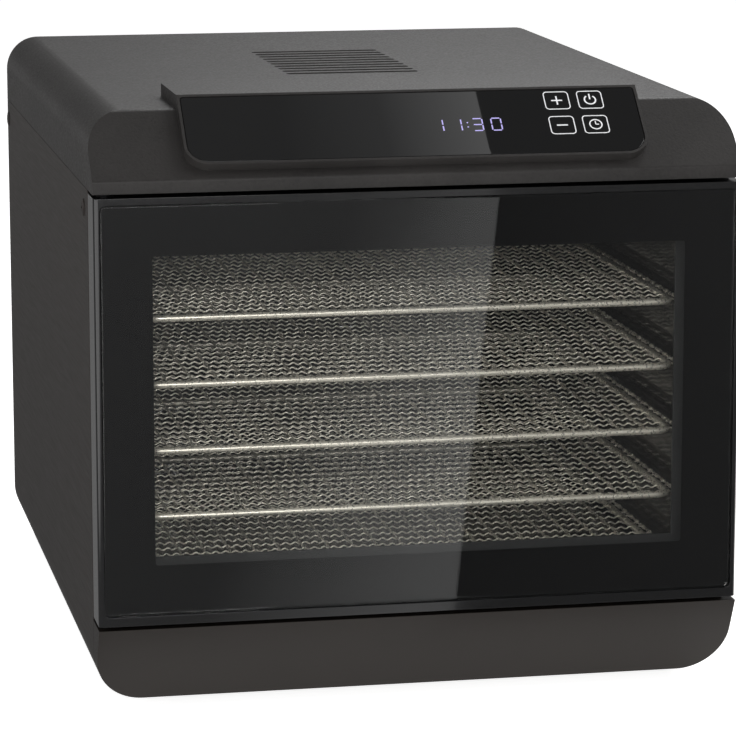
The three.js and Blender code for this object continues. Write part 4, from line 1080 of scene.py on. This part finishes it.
baffle = sheet_of("slotted_baffle", baffle_low, baffle_high)
column_pitch = (baffle_high.x - baffle_low.x + 2 * GAP) / BAFFLE_COLUMNS
row_pitch = (baffle_high.z - baffle_low.z + 2 * GAP) / (BAFFLE_ROWS + 1)
baffle_slots = slots(
    "baffle_slots", facing_back(baffle_middle.x, baffle_middle.y + 4 * MM, baffle_middle.z),
    BAFFLE_COLUMNS, BAFFLE_ROWS, (column_pitch, row_pitch),
    (column_pitch - BAFFLE_BAR, 11.5 * MM), 8 * MM, 5.6 * MM,
)
combine(baffle, "DIFFERENCE", baffle_slots)
soften(baffle, 0.25 * MM, 2, 40)
finish(baffle, "casing", enamel, "chamber_enamel", "air_baffle")

roof_low, roof_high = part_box("chamber_roof")
roof = sheet_of("slotted_roof", roof_low, roof_high)
roof_count = VENT_COUNT // 2
roof_pitch = 2 * VENT_PITCH
roof_middle = VENT_START + VENT_PITCH / 2 + (roof_count - 1) / 2 * roof_pitch
roof_slots = slots(
    "roof_slots", Matrix.Translation((0, roof_middle, roof_low.z - 2 * MM)),
    1, roof_count, (0, roof_pitch), (VENT_SIZE[0], VENT_PITCH), 6 * MM, 3 * MM,
)
probe_low, probe_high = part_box("temperature_probe")
probe_at = ((probe_low.x + probe_high.x) / 2, (probe_low.y + probe_high.y) / 2)
probe_hole = circle(probe_at, (probe_high.x - probe_low.x) / 2 + GAP, 24)
probe_block = prism("probe_hole", probe_hole, "Z", roof_low.z - MM, roof_high.z + MM)
combine(roof, "DIFFERENCE", roof_slots, probe_block)
soften(roof, 0.2 * MM, 2, 40)
finish(roof, "casing", enamel, "chamber_enamel", "chamber_roof")

# %% [markdown]
# The back is a pressed steel panel in the same paint, with a shallow flange that slides inside the
# side sheet. Its intake slots sit in front of the motor, each under a small hood like a louvre,
# which keeps fingers and drips out.

# %% The rear panel and its hooded slots
PANEL = 1.0 * MM
INTAKE_ROWS = 9
INTAKE_PITCH = 11 * MM
INTAKE_SIZE = (104 * MM, 5 * MM)
GLAND_HOLE = 6.3 * MM
fan_low, fan_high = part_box("fan_wheel")
FAN_Z = (fan_low.z + fan_high.z) / 2
gland_low, gland_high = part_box("cable_gland")
GLAND = ((gland_low.x + gland_high.x) / 2, (gland_low.z + gland_high.z) / 2)

panel_top = panel_high.z
rear = prism("rear_sheet", body_outline(0, panel_top), "Y", BACK - PANEL, BACK)
inset = SHEET + GAP
flange = prism("flange", body_outline(inset, panel_top), "Y", panel_low.y, BACK - PANEL / 2)
inner_outline = body_outline(inset + PANEL, panel_top + MM)
flange_hole = prism("flange_hole", inner_outline, "Y", panel_low.y - MM, BACK)
combine(flange, "DIFFERENCE", flange_hole)
combine(rear, "UNION", flange)
on_back = facing_back(0, BACK + 4 * MM, FAN_Z)
intakes = slots(
    "intakes", on_back, 1, INTAKE_ROWS, (0, INTAKE_PITCH), INTAKE_SIZE, 8 * MM, 2.4 * MM
)
gland_hole = prism("gland_hole", circle(GLAND, GLAND_HOLE, 32), "Y", BACK - 6 * MM, BACK + MM)
combine(rear, "DIFFERENCE", intakes, gland_hole)
soften(rear, 0.22 * MM, 2, 40)
finish(rear, "casing", cabinet_paint, "cabinet_paint", "rear_panel")

hood_place = facing_back(0, BACK - PANEL - 1.6 * MM, FAN_Z + 0.6 * MM)
hood_size = (INTAKE_SIZE[0] + 2 * MM, 6.5 * MM, 0.8 * MM)
intake_blades = blades(
    "intake_blades", hood_place, INTAKE_ROWS, INTAKE_PITCH, hood_size, 35, cabinet_paint
)
soften(intake_blades, 0.2 * MM, 2, 30)
finish(intake_blades, "casing", cabinet_paint, "cabinet_paint")

# %% [markdown]
# The screws are dome heads with a cross recess. One screw is turned and cut, then copied onto
# points by Geometry Nodes, each point carrying the turn that its screw needs.

# %% Turning and copying


def lathe(name, profile, steps=32):
    """A solid turned from its (radius, height) profile about Z, standing on z = 0."""
    shape = bmesh.new()
    rings = []
    for radius, height in profile:
        ring = circle((0, 0), radius, steps) if radius > 0 else [Vector((0, 0))]
        rings.append([shape.verts.new((p.x, p.y, height)) for p in ring])
    for below, above in zip(rings, rings[1:]):
        for i in range(steps):
            j = (i + 1) % steps
            corners = [below[i % len(below)], below[j % len(below)]]
            corners += [above[j % len(above)], above[i % len(above)]]
            shape.faces.new(list(dict.fromkeys(corners)))
    return to_object(name, shape)


def quarter(steps):
    """Angles from nothing to a right angle."""
    return [math.pi / 2 * i / steps for i in range(steps + 1)]


def copy_tree():
    """Copies of any part, each turned as its point says."""
    tree, given = new_tree("copies on points", Object=("Part",))
    part = put(tree, "GeometryNodeObjectInfo", {"Object": given["Part"]}).outputs["Geometry"]
    kind = "FLOAT_VECTOR"
    turn = out(tree, "GeometryNodeInputNamedAttribute", {"Name": "turn"}, data_type=kind)
    return scatter(tree, given["Geometry"], part, turn)


COPIES = copy_tree()


def smooth_above(piece, angle):
    """Smooth shading, with a sharp line at every edge above the angle."""
    piece.data.shade_smooth()
    piece.data.set_sharp_from_angle(angle=math.radians(angle))


def copy_to(name, part, places, material):
    """Copies of a part at (point, turn) places, as one mesh. The part itself is used up."""
    points = bpy.data.meshes.new(name)
    points.from_pydata([place for place, _ in places], [], [])
    turns = points.attributes.new("turn", "FLOAT_VECTOR", "POINT")
    for target, (_, turn) in zip(turns.data, places):
        target.vector = turn
    made = grow(name, COPIES, material, {"Part": part}, points)
    bpy.data.objects.remove(part)
    smooth_above(made, 35)
    return made


DOME = 1.2 * MM
HEAD_RADIUS = 4.7 * MM
HEAD_RIM = 0.25 * MM
SHANK_RADIUS = 1.6 * MM
SHANK_LENGTH = 6 * MM


def dome_screw():
    """A dome-headed screw with a cross recess; its head stands on z = 0."""
    head = [
        (HEAD_RADIUS * math.sin(a), HEAD_RIM + (DOME - HEAD_RIM) * math.cos(a))
        for a in reversed(quarter(8))
    ]
    head[-1] = (0, DOME)
    shank = [(0, -SHANK_LENGTH), (SHANK_RADIUS, -SHANK_LENGTH), (SHANK_RADIUS, 0)]
    screw = lathe("screw", shank + [(HEAD_RADIUS, 0)] + head)
    for wide, deep in ((2.2 * MM, 0.4 * MM), (0.4 * MM, 2.2 * MM)):
        combine(screw, "DIFFERENCE", prism("recess", bar(0, 0, wide, deep), "Z", 0.35 * MM, 3 * MM))
    return screw


def screw_place(node):
    """The head's seat and its turn, from a screw's box and the side that its name gives."""
    low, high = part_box(node)
    middle = (low + high) / 2
    if node.startswith("rear"):
        return (middle.x, high.y - DOME, middle.z), (-math.pi / 2, 0, 0)
    if "left" in node:
        return (low.x + DOME, middle.y, middle.z), (0, -math.pi / 2, 0)
    return (high.x - DOME, middle.y, middle.z), (0, math.pi / 2, 0)


# %% Screws
side_nodes = [f"side_screw_{side}_{end}" for side in ("left", "right") for end in ("front", "rear")]
rear_nodes = [f"rear_screw_{i}" for i in range(1, 5)]
for name, nodes, material, slot in (
    ("side_screws", side_nodes, cabinet_paint, "cabinet_paint"),
    ("rear_screws", rear_nodes, bright_steel, "bright_steel"),
):
    screws = copy_to(name, dome_screw(), [screw_place(node) for node in nodes], material)
    finish(screws, "casing", material, slot, *nodes)

# %% [markdown]
# The feet are rubber plugs with a soft rim and a dished sole, and the gland is a moulded ring with
# a tapered nose and grip ribs. Both are turned.

# %% Feet and gland
foot_low, foot_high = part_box("foot_1")
foot_radius = (foot_high.x - foot_low.x) / 2
foot_tall = foot_high.z - foot_low.z
rim = 1.2 * MM
foot_profile = [(0, 0.6 * MM), (foot_radius * 0.55, 0.6 * MM), (foot_radius * 0.62, 0)]
foot_profile += [
    (foot_radius - rim + rim * math.sin(a), rim - rim * math.cos(a)) for a in quarter(5)
]
foot_profile += [(foot_radius, foot_tall * 0.55), (foot_radius * 0.93, foot_tall * 0.62)]
foot_profile += [(foot_radius * 0.93, foot_tall), (0, foot_tall)]
foot_nodes = [f"foot_{i}" for i in range(1, 5)]
foot_places = []
for node in foot_nodes:
    low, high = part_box(node)
    foot_places.append((((low.x + high.x) / 2, (low.y + high.y) / 2, low.z), (0, 0, 0)))
feet = copy_to("rubber_feet", lathe("foot", foot_profile, 40), foot_places, foot_rubber)
finish(feet, "casing", foot_rubber, "foot_rubber", *foot_nodes)

GLAND_BORE = 3.6 * MM
GLAND_BODY = 6 * MM
RIB_HIGH = 7.4 * MM
RIB_LOW = 6.8 * MM
RIB_PITCH = 1.4 * MM
RIB_WIDTH = 0.8 * MM
gland_radius = (gland_high.x - gland_low.x) / 2
back_face = BACK + GAP - gland_low.y
nose = gland_high.y - gland_low.y
profile = [(GLAND_BORE, 0), (GLAND_BODY, 0), (GLAND_BODY, back_face), (gland_radius, back_face)]
profile += [(gland_radius, back_face + 2.2 * MM), (gland_radius - 0.8 * MM, back_face + 3 * MM)]
for i in range(4):
    at = back_face + 3.6 * MM + i * RIB_PITCH
    taper = i * 0.3 * MM
    profile += [(RIB_HIGH - taper, at), (RIB_HIGH - taper, at + RIB_WIDTH)]
    profile += [(RIB_LOW - taper, at + RIB_WIDTH), (RIB_LOW - taper, at + RIB_PITCH)]
profile += [(5.4 * MM, nose), (GLAND_BORE, nose), (GLAND_BORE, 0)]
gland = lathe("moulded_gland", profile, 40)
with edited(gland) as shape:
    bmesh.ops.remove_doubles(shape, verts=shape.verts, dist=SAME_POINT)
    bmesh.ops.recalc_face_normals(shape, faces=shape.faces)
gland.data.transform(Matrix.Rotation(-math.pi / 2, 4, "X"))
moved(gland, GLAND[0], gland_low.y, GLAND[1])
smooth_above(gland, 30)
finish(gland, "casing", dark_plastic, "dark_plastic", "cable_gland")

# %% [markdown]
# The pieces whose shape in the model is already right keep it, and only take a better finish.

# %% Finishes for the pieces that stay
ENDS = ("lower", "upper")
KEPT = (
    (door_trim, ["front_frame"]),
    (enamel, ["chamber_left_wall", "chamber_right_wall", "chamber_floor", "motor_bracket"]),
    (dark_plastic, ["top_rail", "display_module", "door_retainer", "vent_duct", "fan_wheel"]),
    (dark_plastic, ["thermal_cutout", "terminal_block", *[f"hinge_bush_{end}" for end in ENDS]]),
    (dark_plastic, [f"door_magnet_{end}" for end in ENDS]),
    (bright_steel, ["fan_shaft", "fan_nut", "temperature_probe"]),
    (bright_steel, [f"striker_{end}" for end in ENDS]),
    # Hinge pins: steel painted dark for the shade in the gap between door and lid.
    (gap_shade_steel, [f"hinge_pin_{end}" for end in ENDS]),
    (zinc_steel, ["fan_motor", "heater_holder_left", "heater_holder_right"]),
    (heater_steel, ["heater_element"]),
    (board_green, ["control_board", "power_board"]),
    (seal_rubber, ["door_seal"]),
)
dressed = set()
for material, names in KEPT:
    dressed |= set(names)
    for name in names:
        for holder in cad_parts[name].material_slots:
            holder.material = material
shown = {name for name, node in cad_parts.items() if not node.hide_render}
print("model nodes still shown:", len(shown), "without a finish:", shown - dressed)

# %% [markdown]
# Camera and light. The camera stands to the left and a little above, with a long lens. The light is
# a pale studio: one broad soft lamp overhead, weaker ones at the left, the right and the front, and
# a dim room.

# %% Camera
camera = add_object("camera", bpy.data.cameras.new("camera"))
camera.data.lens = 176.5
camera.data.sensor_width = 36
camera.location = (-0.3906, -2.0395, 0.5388)
camera.rotation_euler = (math.pi / 2 - 0.1893, 0, -0.1964)
camera.data.dof.use_dof = False
bpy.context.scene.camera = camera
bpy.context.scene.view_settings.view_transform = "Standard"
print("camera at", [round(v, 3) for v in camera.location], "lens", camera.data.lens)


# %% Lights and floor
def softbox(name, place, target, size, watts):
    """A rectangular lamp that faces a point."""
    lamp = bpy.data.lights.new(name, "AREA")
    lamp.shape = "RECTANGLE"
    lamp.size, lamp.size_y = size
    lamp.energy = watts
    made = add_object(name, lamp)
    made.location = place
    made.rotation_euler = (Vector(target) - Vector(place)).to_track_quat("-Z", "Y").to_euler()


softbox("overhead", (0.75, 1.25, 1.7), (0, 0.1, 0.1), (1.7, 1.3), 24)
softbox("left", (-2.2, -0.4, 0.9), (0, 0, 0.15), (1.2, 1.2), 11)
softbox("right", (1.25, -0.45, 1.15), (0, 0, 0.3), (0.7, 0.7), 9)
softbox("front", (-0.4, -2.8, 0.95), (0, 0, 0.17), (1.6, 0.7), 22)

world = bpy.data.worlds.new("studio")
bpy.context.scene.world = world
world.use_nodes = True
world.node_tree.nodes["Background"].inputs[0].default_value = (1, 1, 1, 1)
world.node_tree.nodes["Background"].inputs[1].default_value = 0.2

WHITE = (1, 1, 1, 1)
FLOOR_HALF = 12
floor_paint, floor_tree = new_material("pale floor")
floor_look = {"Base Color": (0.8, 0.8, 0.8, 1), "Roughness": 0.9, "Specular IOR Level": 0.0}
floor_look |= {"Emission Color": WHITE, "Emission Strength": 0.86}
floor_shader = out(floor_tree, "ShaderNodeBsdfPrincipled", floor_look)
put(floor_tree, "ShaderNodeOutputMaterial", {"Surface": floor_shader})
floor_shape = bmesh.new()
floor_corners = plate(-FLOOR_HALF, FLOOR_HALF, -FLOOR_HALF, FLOOR_HALF)
floor_shape.faces.new([floor_shape.verts.new((v.x, v.y, 0)) for v in floor_corners])
floor = to_object("floor", floor_shape)
floor.data.materials.append(floor_paint)
print("lamps:", len(bpy.data.lights), "floor, m:", 2 * FLOOR_HALF)

# %% [markdown]
# Black glass shows what it faces, so what it faces is built. A pale card on the floor in front
# brightens towards a slanted edge and a darker one lies beyond it; a smaller pair hangs over the
# console. Each card is a strip of quads, and every line across it carries its own level of light.

# %% Cards for the glass to reflect
lit_card, card_tree = new_material("card light")
card_level = put(card_tree, "ShaderNodeAttribute", attribute_name="level").outputs["Fac"]
card_light = out(card_tree, "ShaderNodeEmission", {"Strength": card_level})
put(card_tree, "ShaderNodeOutputMaterial", {"Surface": card_light})


def shaded_card(name, lines):
    """A card that only shows in glossy surfaces. Each line is (near, far, near level, far level)."""
    shape = bmesh.new()
    layer = shape.verts.layers.float.new("level")
    pairs = []
    for near, far, *levels in lines:
        pair = [shape.verts.new(near), shape.verts.new(far)]
        for point, level in zip(pair, levels):
            point[layer] = level
        pairs.append(pair)
    for first, second in zip(pairs, pairs[1:]):
        shape.faces.new((first[0], second[0], second[1], first[1]))
    made = to_object(name, shape)
    made.data.materials.append(lit_card)
    made.visible_camera = False
    made.visible_diffuse = False
    made.visible_shadow = False


NEAR, FAR = -0.24, -4.0
EDGE_NEAR, EDGE_FAR = 0.0165, 0.966
CARD_Z = 1 * MM
SIDE_FAR = 6
SIDE_LEVEL = 0.17


def floor_card(name, *lines):
    """A card on the floor, from (shift, near level, far level) lines parallel to the slanted edge."""
    shaded_card(name, [
        ((EDGE_NEAR + shift, NEAR, CARD_Z), (EDGE_FAR + shift, FAR, CARD_Z), near, far)
        for shift, near, far in lines
    ])


floor_card(
    "pale card",
    (-3, 1.6, 1.6), (-0.7, 1.6, 1.6), (-0.52, 0.23, 0.42),
    (-0.155, 0.23, 0.38), (-0.03, 0.8, 0.66), (0, 0.86, 0.74),
)
floor_card("dark card", (0, 0.11, 0.13), (0.22, 0.17, 0.21), (3, 0.17, 0.21))
shaded_card("side card", [
    ((x, NEAR, CARD_Z), (x, SIDE_FAR, CARD_Z), SIDE_LEVEL, SIDE_LEVEL) for x in (-4, -HALF)
])

HIGH = 1.9
HIGH_NEAR, HIGH_FAR = -0.7, 0.4
HIGH_EDGE = 0.395
HIGH_EDGE_Y = -0.184
HIGH_SLANT = -0.23


def high_card(name, *lines):
    """A card over the console, from (shift, level) lines parallel to its slanted edge."""
    def point(shift, y):
        return HIGH_EDGE + shift + HIGH_SLANT * (y - HIGH_EDGE_Y), y, HIGH

    shaded_card(name, [
        (point(shift, HIGH_NEAR), point(shift, HIGH_FAR), level, level) for shift, level in lines
    ])


high_card(
    "console pale card", (-0.8, 0.33), (-0.2, 0.34), (-0.1, 0.55), (-0.03, 1.2), (0, 1.5)
)
high_card("console dark card", (0, 0.25), (0.8, 0.25))
